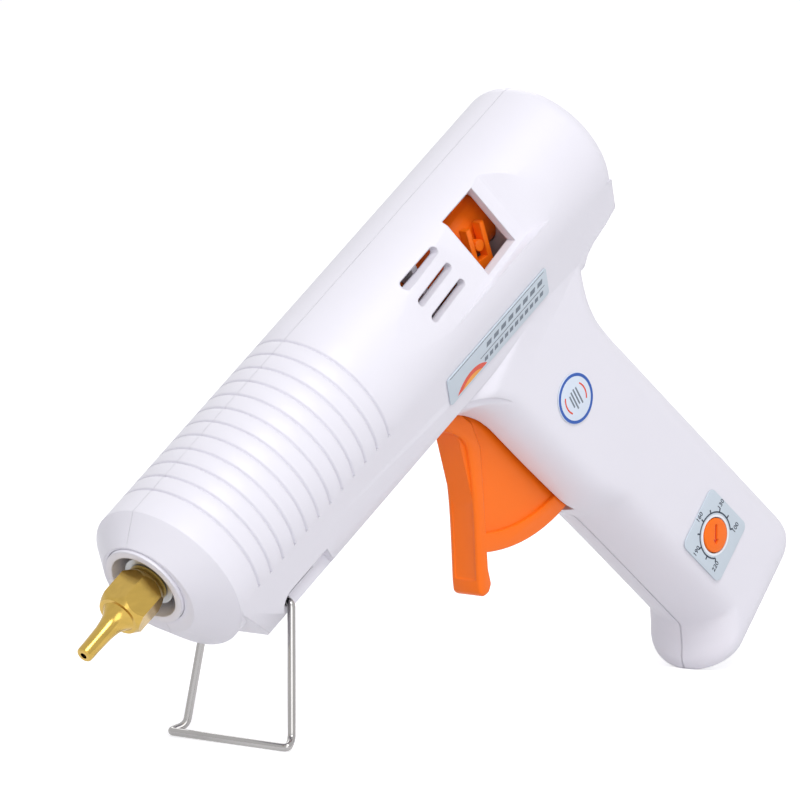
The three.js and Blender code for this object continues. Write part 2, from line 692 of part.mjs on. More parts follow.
function nozzleBody() {
  const shoulder = HEX_FLATS / 2 - HEX_CHAMFER;
  const cone = turned([
    [0, NOZZLE_TIP_R],
    [-NOZZLE_WAIST / 2, NOZZLE_TIP_R + FIT],
    [-NOZZLE_WAIST, NOZZLE_WAIST_R],
    [-(NOZZLE_WAIST + HEX_FRONT) / 2, (NOZZLE_WAIST_R + shoulder) / 2],
    [-HEX_FRONT - HEX_CHAMFER / 2, shoulder],
    [-HEX_BACK - HEX_CHAMFER, shoulder],
    [-NOSE_BACK, shoulder],
    [-NOSE_BACK, NECK_R],
    [-NECK_BACK, NECK_R],
  ], FEED_Z, MEDIUM);
  const corners = Array.from({ length: 6 }, (_, i) => {
    const angle = rad(60 * i + 30);
    const reach = HEX_FLATS / 2 / Math.cos(rad(30));
    return [reach * Math.cos(angle), FEED_Z + reach * Math.sin(angle)];
  });
  const outside = HEX_FLATS / 2 / Math.cos(rad(30)) + FIT;
  const rounding = turned([
    [-HEX_FRONT, HEX_FLATS / 2],
    [-HEX_FRONT - HEX_CHAMFER, outside],
    [-HEX_BACK + HEX_CHAMFER, outside],
    [-HEX_BACK, HEX_FLATS / 2],
  ], FEED_Z, MEDIUM);
  const hexagon = slabX(corners, -HEX_BACK, -HEX_FRONT).intersect(rounding);
  const bore = turned([
    [CUT_OVER, NOZZLE_BORE_R],
    [-NOZZLE_WAIST, NOZZLE_BORE_R],
    [-HEX_BACK, NECK_R / 2],
    [-NECK_BACK - CUT_OVER, NECK_R / 2],
  ], FEED_Z, SMALL);
  return cone.add(hexagon).subtract(bore);
}

piece('nozzle', nozzleBody(), BRASS);

const heaterZ = FEED_Z - HEATER_DROP;
const heaterFront = -CHAMBER_FRONT - CHAMBER_FLANGE - WALL;

function chamberBody() {
  const shell = turned([
    [-NOSE_BACK - FIT, SNOUT_R],
    [-CHAMBER_FRONT, SNOUT_R],
    [-CHAMBER_FRONT, CHAMBER_FLANGE_R],
    [-CHAMBER_FRONT - CHAMBER_FLANGE, CHAMBER_FLANGE_R],
    [-CHAMBER_FRONT - CHAMBER_FLANGE, CHAMBER_R],
    [-CHAMBER_BACK + CHAMBER_FLANGE, CHAMBER_R],
    [-CHAMBER_BACK + CHAMBER_FLANGE, CHAMBER_FLANGE_R],
    [-CHAMBER_BACK, CHAMBER_FLANGE_R],
    [-CHAMBER_BACK, STUB_R],
    [-CHAMBER_BACK - STUB_LENGTH, STUB_R],
  ], FEED_Z, MEDIUM);
  const pocket = turned([
    [heaterFront, HEATER_R + HEATER_R / 2],
    [heaterFront - HEATER_LENGTH + WALL, HEATER_R + HEATER_R / 2],
  ], heaterZ, MEDIUM);
  const bore = turned([
    [0, NECK_R + FIT],
    [-NECK_BACK - FIT, NECK_R + FIT],
    [-NECK_BACK - STUB_R, STICK_R + FIT],
    [-CHAMBER_BACK - STUB_LENGTH - CUT_OVER, STICK_R + FIT],
  ], FEED_Z, MEDIUM);
  const heaterBore = turned([
    [heaterFront - WALL, HEATER_R + FIT],
    [-CHAMBER_BACK - CUT_OVER, HEATER_R + FIT],
  ], heaterZ, SMALL);
  return shell.add(pocket).subtract(bore).subtract(heaterBore);
}

piece('melt_chamber', chamberBody(), ALUMINIUM);
const heaterStart = heaterFront - WALL - FIT;
piece('heater_cartridge', turned([
  [heaterStart, HEATER_R], [heaterStart - HEATER_LENGTH, HEATER_R]], heaterZ, SMALL), CERAMIC);

const bandX = -(CHAMBER_FRONT + CHAMBER_BACK) / 2;
const bandOuter = CHAMBER_R + FIT + BAND_THICK;
piece('sensor_band', ring(bandX + BAND_WIDTH / 2, bandX - BAND_WIDTH / 2, bandOuter, CHAMBER_R + FIT)
  .subtract(box([bandX - BAND_WIDTH, -2 * HEATER_R, -BARREL_R], [bandX + BAND_WIDTH, 2 * HEATER_R, 0])), STEEL);
piece('temperature_sensor', turned([
  [bandX + BAND_WIDTH / 2, BAND_THICK * 1.5], [bandX - BAND_WIDTH / 2, BAND_THICK * 1.5]],
FEED_Z + bandOuter + FIT + BAND_THICK * 1.5, SMALL), CERAMIC);

// The soft sleeve that guides the stick into the chamber, and its clamp
const sleeveFront = -CHAMBER_BACK - FIT;
const sleeveR = STUB_R + FIT + SLEEVE_WALL;
const sleeveBack = sleeveFront - SLEEVE_LENGTH;
piece('feed_sleeve', turned([
  [sleeveFront, sleeveR],
  [sleeveFront - STUB_LENGTH, sleeveR],
  [sleeveBack, SLEEVE_LIP_R + SLEEVE_WALL],
], FEED_Z, MEDIUM).subtract(turned([
  [sleeveFront + CUT_OVER, STUB_R + FIT],
  [-CHAMBER_BACK - STUB_LENGTH - FIT, STUB_R + FIT],
  [-CHAMBER_BACK - STUB_LENGTH - FIT, SLEEVE_LIP_R],
  [sleeveBack - CUT_OVER, SLEEVE_LIP_R],
], FEED_Z, MEDIUM)), SILICONE);
const clampX = sleeveFront - STUB_LENGTH / 2;
piece('sleeve_clamp', ring(
  clampX + CLAMP_WIDTH / 2, clampX - CLAMP_WIDTH / 2, sleeveR + FIT + BAND_THICK, sleeveR + FIT), STEEL);

// Feed carriage: a tube round the stick, with side pins for the trigger's fork and ears for the jaw
const jawX = PIN_X - JAW_BACK;
const jawZ = FEED_Z + CARRIAGE_R + EAR_HEIGHT / 2;

function carriageBody() {
  const back = PIN_X - CARRIAGE_BEHIND_PIN;
  const bore = STICK_R + STICK_PLAY;
  const tube = ring(back + CARRIAGE_LENGTH, back, CARRIAGE_R, bore);
  const pinEnd = FORK_HALF_IN + FORK_THICK;
  const pins = [-1, 1].map((side) => alongY(
    PIN_X, FEED_Z, CARRIAGE_PIN_R, ...[side * (bore + FIT), side * pinEnd].sort((a, b) => a - b), SMALL));
  const earIn = JAW_WIDTH / 2 + FIT;
  const ears = [-1, 1].map((side) => {
    const [low, high] = [side * earIn, side * (earIn + EAR_THICK)].sort((a, b) => a - b);
    return box(
      [jawX - EAR_HEIGHT / 2, low, FEED_Z + bore + FIT], [jawX + EAR_HEIGHT / 2, high, jawZ + EAR_HEIGHT / 2]);
  });
  const room = box(
    [jawX - EAR_HEIGHT / 2, -earIn, FEED_Z], [jawX + JAW_LENGTH + EAR_HEIGHT / 2, earIn, jawZ + EAR_HEIGHT]);
  return joined(tube, ...pins, ...ears).subtract(room).subtract(alongY(jawX, jawZ, JAW_PIN_R + FIT, -BARREL_R, BARREL_R));
}

piece('feed_carriage', carriageBody(), ORANGE);
piece('grip_jaw', slabY([
  [jawX - EAR_HEIGHT / 3, jawZ - EAR_HEIGHT / 3],
  [jawX + JAW_LENGTH - JAW_PIN_R * 3, FEED_Z + STICK_R + STICK_PLAY],
  [jawX + JAW_LENGTH, FEED_Z + STICK_R + STICK_PLAY],
  [jawX + JAW_LENGTH, jawZ],
  [jawX + EAR_HEIGHT / 3, jawZ + EAR_HEIGHT / 3],
  [jawX - EAR_HEIGHT / 3, jawZ + EAR_HEIGHT / 3],
], -JAW_WIDTH / 2, JAW_WIDTH / 2).subtract(alongY(jawX, jawZ, JAW_PIN_R + FIT, -BARREL_R, BARREL_R)), ORANGE);
const jawPinHalf = JAW_WIDTH / 2 + FIT + EAR_THICK;
piece('jaw_pin', alongY(jawX, jawZ, JAW_PIN_R, -jawPinHalf, jawPinHalf), STEEL);

// Trigger: a finger bar and a toothless sector that slides into the grip, with a fork above its pivot.
// The bar's outline: [share of the reach in front of the pivot, share of the drop below it].
const BAR_SHARES = [
  [0.8, -0.06], [0.66, 0.07], [0.57, 0.17], [0.535, 0.25], [0.56, 0.34], [0.72, 0.61], [0.985, 0.965],
  [1.02, 1.02], [1, 1.055], [0.94, 1.065], [0.885, 1.035], [0.85, 0.95], [0.6, 0.6], [0.43, 0.36],
  [0.4, 0.2], [0.5, -0.02],
];

function triggerBody() {
  const atShare = ([reach, drop]) => [PIVOT_X + reach * TRIGGER_REACH, PIVOT_Z - drop * TRIGGER_DROP];
  const bar = slabY(BAR_SHARES.map(atShare), -TRIGGER_HALF, TRIGGER_HALF);
  const rimInner = SECTOR_R - SECTOR_RIM;
  const edge = arcPoints(PIVOT_X, PIVOT_Z, SECTOR_R, -SECTOR_END, -SECTOR_START, ARC_STEPS);
  const innerEdge = arcPoints(PIVOT_X, PIVOT_Z, rimInner, -SECTOR_START, -SECTOR_END, ARC_STEPS);
  const midRim = SECTOR_R - SECTOR_RIM / 2;
  const plate = slabY([
    ...arcPoints(PIVOT_X, PIVOT_Z, midRim, -SECTOR_END + 1, -SECTOR_START - 1, ARC_STEPS),
    atShare([0.5, 0.06]), [PIVOT_X, PIVOT_Z + HUB_R / 2], [PIVOT_X - HUB_R / 2, PIVOT_Z],
  ], -SECTOR_HALF, SECTOR_HALF);
  const rim = slabY([...edge, ...innerEdge], -TRIGGER_HALF, TRIGGER_HALF);
  const hub = alongY(PIVOT_X, PIVOT_Z, HUB_R, -HUB_R, HUB_R, MEDIUM);
  const back = HALF_TRAVEL;
  const along = (out, side) => [
    PIVOT_X - out * Math.sin(back) + side * Math.cos(back), PIVOT_Z + out * Math.cos(back) + side * Math.sin(back)];
  const upright = (from, to, half, yLow, yHigh) => slabY(
    [along(from, -half), along(from, half), along(to, half), along(to, -half)], yLow, yHigh);
  const half = FORK_WIDTH / 2;
  const bridgeOut = FORK_BRIDGE_Z - PIVOT_Z;
  const top = ARM_LIFT / Math.cos(back) + FORK_OVER_PIN;
  const forkOut = FORK_HALF_IN + FORK_THICK;
  const stem = upright(0, bridgeOut + half / 2, half - 2 * FIT, -SECTOR_HALF, SECTOR_HALF);
  const bridge = upright(bridgeOut, bridgeOut + half, half - FIT, -forkOut, forkOut);
  const arms = [[FORK_HALF_IN, forkOut], [-forkOut, -FORK_HALF_IN]].map(
    ([low, high]) => upright(bridgeOut + FIT, top, half, low, high));
  const pinHalf = CARRIAGE_PIN_R + FIT;
  const pinSlot = upright(ARM_LIFT / Math.cos(back) - 2 * pinHalf, top + CUT_OVER, pinHalf, -BARREL_R, BARREL_R);
  return without(joined(plate, rim, bar, hub, stem, bridge, ...arms), pinSlot,
    alongY(PIVOT_X, PIVOT_Z, AXLE_R + FIT, -BARREL_R, BARREL_R));
}

piece('trigger', triggerBody(), ORANGE);
const axleHalf = GRIP_HALF - WALL - FIT;
piece('trigger_axle', alongY(PIVOT_X, PIVOT_Z, AXLE_R, -axleHalf, axleHalf), STEEL);

// The return spring, wound round the axle beside the hub, with its two legs
class SpringPath extends THREE.Curve {
  getPoint(share) {
    const leg = 2 * SPRING_R;
    const wound = 2 * Math.PI * SPRING_R * SPRING_TURNS;
    const along = share * (wound + 2 * leg) - leg;
    const angle = THREE.MathUtils.clamp(along, 0, wound) / SPRING_R;
    const run = along - angle * SPRING_R;
    const start = HUB_R + FIT + SPRING_WIRE_R;
    return new THREE.Vector3(
      PIVOT_X + SPRING_R * Math.sin(angle) + run * Math.cos(angle),
      -start - SPRING_PITCH * angle / (2 * Math.PI),
      PIVOT_Z + SPRING_R * Math.cos(angle) - run * Math.sin(angle));
  }
}
piece('return_spring', wire(new SpringPath(), SPRING_WIRE_R, SPRING_STEPS, LEAD_SIDES), STEEL);

// Grip: control board with its parts, the dial, and the lead inlet
function gripBlock(uLow, uHigh, vLow, vHigh, yLow, yHigh) {
  return slabY([grip(uLow, vLow), grip(uLow, vHigh), grip(uHigh, vHigh), grip(uHigh, vLow)], yLow, yHigh);
}

piece('control_board', gripBlock(
  BOARD_U, BOARD_U + BOARD_WIDTH, BOARD_V, BOARD_V + BOARD_LENGTH, BOARD_Y, BOARD_Y + BOARD_THICK), BOARD_GREEN);
const potBack = BOARD_Y + BOARD_THICK + FIT;
const potFront = GRIP_HALF - WALL - 3 * FIT;
const shaftFrom = potBack + POT_BACK_WALL;
piece('potentiometer', alongY(plateX, plateZ, POT_R, potBack, potFront, MEDIUM)
  .subtract(alongY(plateX, plateZ, SHAFT_R + FIT, shaftFrom - FIT, GRIP_HALF)), BLACK);
piece('dial_shaft', alongY(plateX, plateZ, SHAFT_R, shaftFrom, GRIP_HALF - FIT), ALUMINIUM);
const knobFace = GRIP_HALF + KNOB_THICK / 2;
const knobSlot = slabY([
  [plateX - KNOB_SLOT / 2, plateZ - KNOB_R * 0.6], [plateX + KNOB_SLOT / 2, plateZ - KNOB_R * 0.6],
  [plateX + KNOB_SLOT / 2, plateZ + KNOB_R * 0.6], [plateX - KNOB_SLOT / 2, plateZ + KNOB_R * 0.6],
], knobFace - KNOB_SLOT / 2, knobFace + CUT_OVER);
piece('dial_knob', without(
  alongY(plateX, plateZ, KNOB_R, GRIP_HALF - WALL, knobFace, MEDIUM),
  alongY(plateX, plateZ, SHAFT_R + FIT, 0, GRIP_HALF), knobSlot), ORANGE);

// A thin plate with round corners, length along x and height along z, on the plane y = 0
function roundedPlate(length, height, round) {
  const [a, b] = [length / 2 - round, height / 2 - round];
  return slabY([
    ...arcPoints(a, b, round, 0, 90, 4), ...arcPoints(-a, b, round, 90, 180, 4),
    ...arcPoints(-a, -b, round, 180, 270, 4), ...arcPoints(a, -b, round, 270, 360, 4)], 0, LABEL);
}

const onSide = GRIP_HALF + LABEL_GAP;
piece('dial_plate', roundedPlate(PLATE_SIDE, PLATE_SIDE, PLATE_ROUND)
  .rotate([0, GRIP_RAKE, 0]).translate([plateX, onSide, plateZ])
  .subtract(alongY(plateX, plateZ, KNOB_R + FIT, 0, 2 * GRIP_HALF, MEDIUM)), LABEL_BLUE);
const [badgeX, badgeZ] = grip(BADGE_U, BADGE_V);
piece('rating_badge', alongY(badgeX, badgeZ, BADGE_R, onSide, onSide + LABEL, MEDIUM), RING_BLUE);
const nameDrop = BARREL_R * NAME_DOWN_SHARE;
piece('nameplate', roundedPlate(NAME_LENGTH, NAME_HEIGHT, PLATE_ROUND / 2)
  .translate([-NAME_BACK, BARREL_R + LABEL_GAP, -nameDrop]).rotate([-FLANK_LEAN, 0, 0]), LABEL_BLUE);

const boardBack = BOARD_Y - FIT;
const boardMiddle = BOARD_V + BOARD_LENGTH / 2;
piece('power_device', gripBlock(
  BOARD_U + BOARD_WIDTH - DEVICE_WIDTH, BOARD_U + BOARD_WIDTH, boardMiddle - DEVICE_LENGTH / 2,
  boardMiddle + DEVICE_LENGTH / 2, boardBack - DEVICE_THICK, boardBack), BLACK);
piece('capacitor', gripBlock(
  BOARD_U + FIT, BOARD_U + FIT + CAPACITOR_SIDE, boardMiddle - CAPACITOR_SIDE / 2, boardMiddle + CAPACITOR_SIDE / 2,
  boardBack - CAPACITOR_THICK, boardBack), { ...ORANGE, color: 0xb03020 });
piece('terminal_block', gripBlock(
  BOARD_U + FIT, BOARD_U + FIT + TERMINAL_WIDTH, BOARD_V + BOARD_LENGTH - TERMINAL_DEPTH,
  BOARD_V + BOARD_LENGTH - FIT, boardBack - TERMINAL_THICK, boardBack), { ...BOARD_GREEN, color: 0x3f7fb5 });

const lipTo = gripFloor(WALL) - FIT;
piece('inlet_grommet', gripTurned(GLAND_U, [
  [GRIP_LENGTH - GLAND_LENGTH, GLAND_R],
  [lipTo - GLAND_LIP, GLAND_R],
  [lipTo - GLAND_LIP, GLAND_R + GLAND_LIP],
  [lipTo, GLAND_R + GLAND_LIP],
  [lipTo, GLAND_R],
  [GRIP_LENGTH - FIT, GLAND_R],
]).subtract(gripTurned(GLAND_U, [
  [GRIP_LENGTH - 2 * GLAND_LENGTH, GLAND_BORE_R], [GRIP_LENGTH + CUT_OVER, GLAND_BORE_R]])), BLACK);

// The heater's two leads, each along its own side of the mechanism
for (const [name, side] of [['heater_lead_left', 1], ['heater_lead_right', -1]]) {
  const at = (u, v, y) => {
    const [x, z] = grip(u, v);
    return new THREE.Vector3(x, side * y, z);
  };
  const heaterBack = heaterStart - HEATER_LENGTH;
  const route = new THREE.CatmullRomCurve3([
    at(GRIP_DEPTH * 0.6, BOARD_V - 3 * LEAD_R, LEAD_GRIP_Y),
    at(GRIP_DEPTH * 0.65, BOARD_V * 0.63, LEAD_GRIP_Y),
    at(GRIP_DEPTH * 0.62, BOARD_V * 0.3, LEAD_GRIP_Y),
    new THREE.Vector3(PIN_X - CARRIAGE_R, side * (LEAD_Y - 3 * LEAD_R), PIVOT_Z),
    new THREE.Vector3(PIN_X - CARRIAGE_R + LEAD_R, side * (LEAD_Y - 2 * LEAD_R), (PIVOT_Z + LEAD_Z) / 2),
    new THREE.Vector3(PIN_X - CARRIAGE_R / 2, side * LEAD_Y, LEAD_Z),
    new THREE.Vector3(-GRIP_FRONT, side * LEAD_Y, LEAD_Z),
    new THREE.Vector3(-FACET_START, side * (LEAD_Y - 4 * LEAD_R), LEAD_Z),
    new THREE.Vector3(heaterBack - STUB_LENGTH, side * 2 * LEAD_R, heaterZ),
    new THREE.Vector3(heaterBack - FIT, side * 2 * LEAD_R, heaterZ),
  ], false, 'centripetal');
  piece(name, wire(route, LEAD_R, LEAD_STEPS, LEAD_SIDES), side > 0 ? { ...BLACK, color: 0xa02020 } : BLACK);
}

// The wire stand, sprung into the two keel holes
const standCorners = [
  [-STAND_PIVOT, STAND_PIVOT_HALF - STAND_PIN, STAND_PIVOT_Z],
  [-STAND_PIVOT, STAND_PIVOT_HALF, STAND_PIVOT_Z],
  [-STAND_FOOT - STAND_KICK, STAND_FOOT_HALF - STAND_BEND, STAND_FOOT_Z - STAND_KICK / 4],
  [-STAND_FOOT, STAND_FOOT_HALF, STAND_FOOT_Z],
];
const standPath = bentPath(
  [...standCorners, ...standCorners.map(([x, y, z]) => [x, -y, z]).reverse()], STAND_BEND * 0.75);
piece('wire_stand', wire(standPath, STAND_WIRE_R, STAND_STEPS), CHROME);

// Screws that close the shells from the right
SCREW_PLACES.forEach(([x, z], i) => {
  const headFrom = -SCREW_LENGTH / 2 - FIT - SCREW_HEAD;
  const shank = alongY(x, z, SCREW_R, headFrom + SCREW_HEAD / 2, SCREW_LENGTH / 2 - FIT);
  const head = alongY(x, z, SCREW_HEAD_R, headFrom, headFrom + SCREW_HEAD);
  const arm = [SCREW_R * 1.2, SCREW_R * 0.3];
  const recess = joined(
    box([x - arm[0], headFrom - CUT_OVER, z - arm[1]], [x + arm[0], headFrom + SCREW_HEAD / 2, z + arm[1]]),
    box([x - arm[1], headFrom - CUT_OVER, z - arm[0]], [x + arm[1], headFrom + SCREW_HEAD / 2, z + arm[0]]));
  piece(`housing_screw_${i + 1}`, shank.add(head).subtract(recess), STEEL);
});

// Lowest height of the named meshes when the gun is pitched nose down
function lowest(names, pitch) {
  let low = Infinity;
  for (const mesh of gun.children.filter((child) => names.includes(child.name))) {
    const points = mesh.geometry.attributes.position;
    for (let i = 0; i < points.count; i += 1) {
      low = Math.min(low, points.getZ(i) * Math.cos(pitch) - points.getX(i) * Math.sin(pitch));
    }
  }
  return low;
}

// The pitch at which the stand's foot and the toe of the grip touch one floor
function standingPitch() {
  let [low, high] = [rad(GRIP_RAKE), rad(3 * GRIP_RAKE)];
  for (let i = 0; i < 40; i += 1) {
    const pitch = (low + high) / 2;
    const footAboveToe = lowest(['wire_stand'], pitch) - lowest(['housing_left', 'housing_right'], pitch);
    if (footAboveToe > 0) low = pitch;
    else high = pitch;
  }
  return (low + high) / 2;
}

gun.rotation.y = standingPitch();
const applicator = new THREE.Group();
applicator.add(gun);
const bounds = new THREE.Box3().setFromObject(applicator, true);
gun.position.set(-(bounds.min.x + bounds.max.x) / 2, -(bounds.min.y + bounds.max.y) / 2, -bounds.min.z);

export default applicator;
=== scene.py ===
import json
import math

import bmesh
import bpy
from mathutils import Matrix, Vector


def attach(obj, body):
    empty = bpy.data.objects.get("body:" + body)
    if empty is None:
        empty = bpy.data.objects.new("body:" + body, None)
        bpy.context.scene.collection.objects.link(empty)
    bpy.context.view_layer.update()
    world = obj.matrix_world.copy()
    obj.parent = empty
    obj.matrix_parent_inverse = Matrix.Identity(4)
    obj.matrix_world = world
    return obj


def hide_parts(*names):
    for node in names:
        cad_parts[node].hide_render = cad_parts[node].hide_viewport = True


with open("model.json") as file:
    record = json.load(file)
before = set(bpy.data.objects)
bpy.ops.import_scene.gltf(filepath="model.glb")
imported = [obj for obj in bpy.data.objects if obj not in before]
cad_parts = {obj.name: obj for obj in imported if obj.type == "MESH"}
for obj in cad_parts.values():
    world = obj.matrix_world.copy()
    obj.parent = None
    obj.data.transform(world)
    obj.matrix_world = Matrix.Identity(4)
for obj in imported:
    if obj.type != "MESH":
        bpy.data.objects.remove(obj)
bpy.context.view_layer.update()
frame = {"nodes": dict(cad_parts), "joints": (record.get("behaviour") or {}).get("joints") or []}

# Shapes are built in the gun's own frame, in millimetres: x = 0 at the nozzle's tip and falls towards the
# rear, y is to the left, z = 0 on the barrel's axis. The frame's joints then place them in the row frame.
MM = 0.001
FIT = 0.3
WALL = 2.4
# How far cuts run past what they cut, how far out the long ones reach, and how near two points are one
CUT_OVER = 4
FAR = 60
MERGE = 1e-4

# Barrel, keel and nose
BARREL_R = 22
BARREL_REAR = 208
BARREL_REAR_ROUND = 6
NOSE_BACK = 27
NOSE_R = 13.8
NOSE_LIFT = 2.2
NOSE_CHAMFER = 7.2
FLANK_LEAN = math.radians(20)
KEEL_DROP = 26.5
KEEL_FRONT = 44.5
KEEL_FRONT_RISE = 14
KEEL_FRONT_RUN = 8.5
KEEL_EDGE = 2
# The tail's rising underside: [distance behind the nozzle's tip, drop below the barrel's axis]
TAIL_LINE = [(184, 27.5), (189, 24.3), (191, 21.9), (194, 20.5), (200, 19.2), (207.6, 16.4), (212, 14.8)]
CHIN_TUCK = 0.5
FEED_Z = 3.9
INLET_R = 6.5
INLET_START = 189
GROOVE_COUNT = 12
GROOVE_FIRST = 42.7
GROOVE_PITCH = 5.3
# A groove's half section: [distance from its middle, depth]
GROOVE_SECTION = [(0.58, 0), (0.44, 0.05), (0.32, 0.2), (0.2, 0.52), (0.09, 0.66), (0, 0.68)]
# The longest plain stretch between two of the barrel's rings of points
BARREL_BAY = 6

# Grip
RAKE = math.radians(16.64)
GRIP_FRONT = 142.4
GRIP_LENGTH = 128.5
GRIP_DEPTH = 40
GRIP_HALF = 15.5
GRIP_FRONT_ROUND = 10
GRIP_BACK_ROUND = 9
GRIP_BACK_ROUND_Y = 12
TOE_REACH = 8.4
TOE_START_SHARE = 0.7
WEB_REACH = 16
BELLY_REACH = 12
# How many walls above the butt's end the grip's inside stops
HOLLOW_END = 1.6
# Stations down the grip: share of its length, of the reach in front, of the reach behind, of its half width
GRIP_STATION_SHARES = [
    (-0.11, -0.7, 0.55, 0.84), (-0.015, -1, 1, 0.9), (0.021, -0.7, 0.92, 1), (0.06, -0.5, 0.72, 1),
    (0.09, -0.41, 0.51, 1), (0.125, -0.37, 0.31, 1), (0.17, -0.37, 0.13, 1), (0.22, -0.37, 0.03, 1),
    (0.29, -0.36, 0, 1), (0.39, -0.33, 0, 1), (0.45, -0.2, 0, 1), (0.5, -0.02, 0, 1), (0.7, 0, 0, 1),
    (0.905, 0, 0, 1), (0.94, -0.3, 0, 1), (0.965, -0.62, -0.01, 0.985), (0.982, -0.7, -0.08, 0.94),
    (0.994, -0.6, -0.25, 0.86), (1, -0.36, -0.45, 0.74),
]

# Facet, window, vents and scoop
FACET_START = 118
FACET_REAR = 173
FACET_DEPTH = 4.6
FACET_LEAN = math.radians(21)
STEP_RUN = 9
WINDOW = {"front": 154.5, "length": 14, "low": 1.4, "high": 18.2, "inner": 5}
VENT_FRONT = 131
VENT_LENGTH = 16
VENT_WIDTH = 2.2
VENT_PITCH = 5.1
VENT_LOW = 5.6
VENT_COUNT = 3
VENT_IN = 12
SCOOP_R = 21.5
SCOOP_X = -129
SCOOP_Z = -46.5
SCOOP_TILT = math.radians(14)

# Trigger
PIVOT_X = -155
PIVOT_Z = -28
SECTOR_R = 50.8
SECTOR_START = 51
SECTOR_END = 98
SECTOR_RIM = 5.2
SECTOR_HALF = 3.9
TRIGGER_HALF = 5
TRIGGER_REACH = 38
TRIGGER_DROP = 47
HALF_TRAVEL = math.radians(13.5)
HUB_R = 6
AXLE_R = 2
FORK_IN = 9.3
FORK_THICK = 2.6
FORK_HALF_WIDTH = 3.5
FORK_OVER_PIN = 5.5
FORK_BRIDGE_Z = -12
PIN_R = 1.6
# How far up the fork's leaning line its pin and its top lie
FORK_PIN_OUT = (FEED_Z - PIVOT_Z) / math.cos(HALF_TRAVEL)
FORK_TOP = FORK_PIN_OUT + FORK_OVER_PIN
BAR_ROUND = 1.1
RIM_ROUND = 0.5
# How many degrees short of the rim's ends the sector's plate stops
PLATE_SHORT = 1
DISH_DEPTH = 0.9
DISH_EDGE = 1.3
DISH_ROUND = 0.5
# The dish's way into the bar, as shares of its depth along x and z
DISH_WAY_SHARES = (-0.8, 0.6)
# The trigger's slot: how far it goes past the rim, behind the pivot, ahead of the grip, above the keel's
# bottom and below the barrel's axis
SLOT_CLEAR = 2.2
SLOT_BEHIND = 16.8
SLOT_AHEAD = 19
SLOT_OVER = 6
SLOT_DROP = 106
AXLE_POST_R = 4.8
AXLE_ROOM_R = 8
# The bar's outline: [share of the reach in front of the pivot, share of the drop below it]
BAR_FRONT_SHARES = [(0.57, 0.17), (0.535, 0.25), (0.56, 0.34), (0.72, 0.61), (0.985, 0.965)]
BAR_SHARES = [
    (0.8, -0.06), (0.66, 0.07), *BAR_FRONT_SHARES, (1.02, 1.02), (1, 1.055), (0.94, 1.065), (0.885, 1.035),
    (0.85, 0.95), (0.6, 0.6), (0.43, 0.36), (0.4, 0.2), (0.5, -0.02),
]
# Where the sector's plate meets the bar
PLATE_CORNER_SHARES = (0.5, 0.06)

# Nose pieces
COLLAR_R = 11.6
COLLAR_BORE_R = 9.6
COLLAR_DEPTH = 8
COLLAR_PROUD = 1
COLLAR_GAP = 0.12
COLLAR_ROUND = 0.4
NOZZLE_BORE_R = 0.9
NOZZLE_BORE_STEP = 9
# The nozzle's outside, [distance behind the tip, radius], up to the hexagon
NOZZLE_CONE = [(0, 1.75), (0.25, 2.05), (0.6, 2.15), (3, 2.2), (6, 2.3), (8.5, 2.4), (10.5, 2.65), (12, 2.95),
               (13.2, 3.4), (14.2, 4), (15, 4.7), (15.6, 5.6)]
HEX_FRONT = 14.9
HEX_BACK = 26.6
HEX_FLATS = 12
HEX_TURN = 52.7
# How far along the hexagon its corners are turned off, for each millimetre across
HEX_SLOPE = 1.5
NOZZLE_SEAT = 28
NECK_R = 4
NECK_BACK = 42

# Wire stand
STAND_WIRE_R = 1.05
STAND_PIVOT = (-54.1, -23.3)
STAND_PIVOT_HALF = 14.2
STAND_PIN = 5
STAND_FOOT = (-26.8, -47.7)
STAND_FOOT_HALF = 20.8
STAND_KICK = 4
STAND_KICK_DROP = 1
STAND_BEND = 2.4
STAND_BEND_SHARE = 0.75
POCKET_LENGTH = 16
POCKET_HEIGHT = 8
POCKET_HALF = 12.6

# Screws
SCREW_R = 1.4
SCREW_HEAD_R = 2.7
SCREW_LENGTH = 16
BOSS_R = 3.4
# How far the bosses stand off, in boss radii: behind the stand's pocket, at the rear and above the butt
POCKET_OFF = 2.6
REAR_OFF_FAR = 2.4
REAR_OFF_NEAR = 2
BUTT_OFF = 4
MIDDLE_SCREW_DROP = 1.2

# Seam, ribs and gland
SEAM = 0.012
SEAM_WIDTH = 0.44
SEAM_DEPTH = 0.35
SEAM_START = 8
RIB = 2
CHAMBER_RIBS = (41.8, 87.2)
# The carriage's guides: [distance behind the nozzle's tip, drop below the barrel's axis]
GUIDE_RIBS = ((139, FAR), (173, BARREL_R))
GUIDE_OVER = 3.2
CHAMBER_R = 10.5
CARRIAGE_R = 8.4
HEATER_R = 3.3
HEATER_DROP = 13.5
HEATER_Z = FEED_Z - HEATER_DROP
GLAND_R = 6
GLAND_U = 14
GLAND_DEPTH = 14.4

# Labels, each in its own axes with its middle at zero
LABEL = 0.35
LABEL_GAP = 0.1
LABEL_ROUND = 0.1
LABEL_OVER = 1
INK = 0.03
NAME_LENGTH = 46
NAME_HEIGHT = 9.4
NAME_CORNER = 1
NAME_X = -149.4
NAME_DROP = 7.92
# The nameplate's rules: [middle along, middle up, length, height]
NAME_RULES = [(0, NAME_HEIGHT / 2 - 0.55, NAME_LENGTH - 2.4, 0.16), (6.4, -0.35, NAME_LENGTH - 16, 0.18)]
# Its two rows of bars
NAME_ROWS = [
    {"count": 8, "first": -4.2, "pitch": 3.4, "up": 1.75, "length": 2.2, "height": 1.5, "lean": 0.2},
    {"count": 12, "first": -6.2, "pitch": 2.35, "up": -2.15, "length": 1.5, "height": 1.3, "lean": 0.15},
]
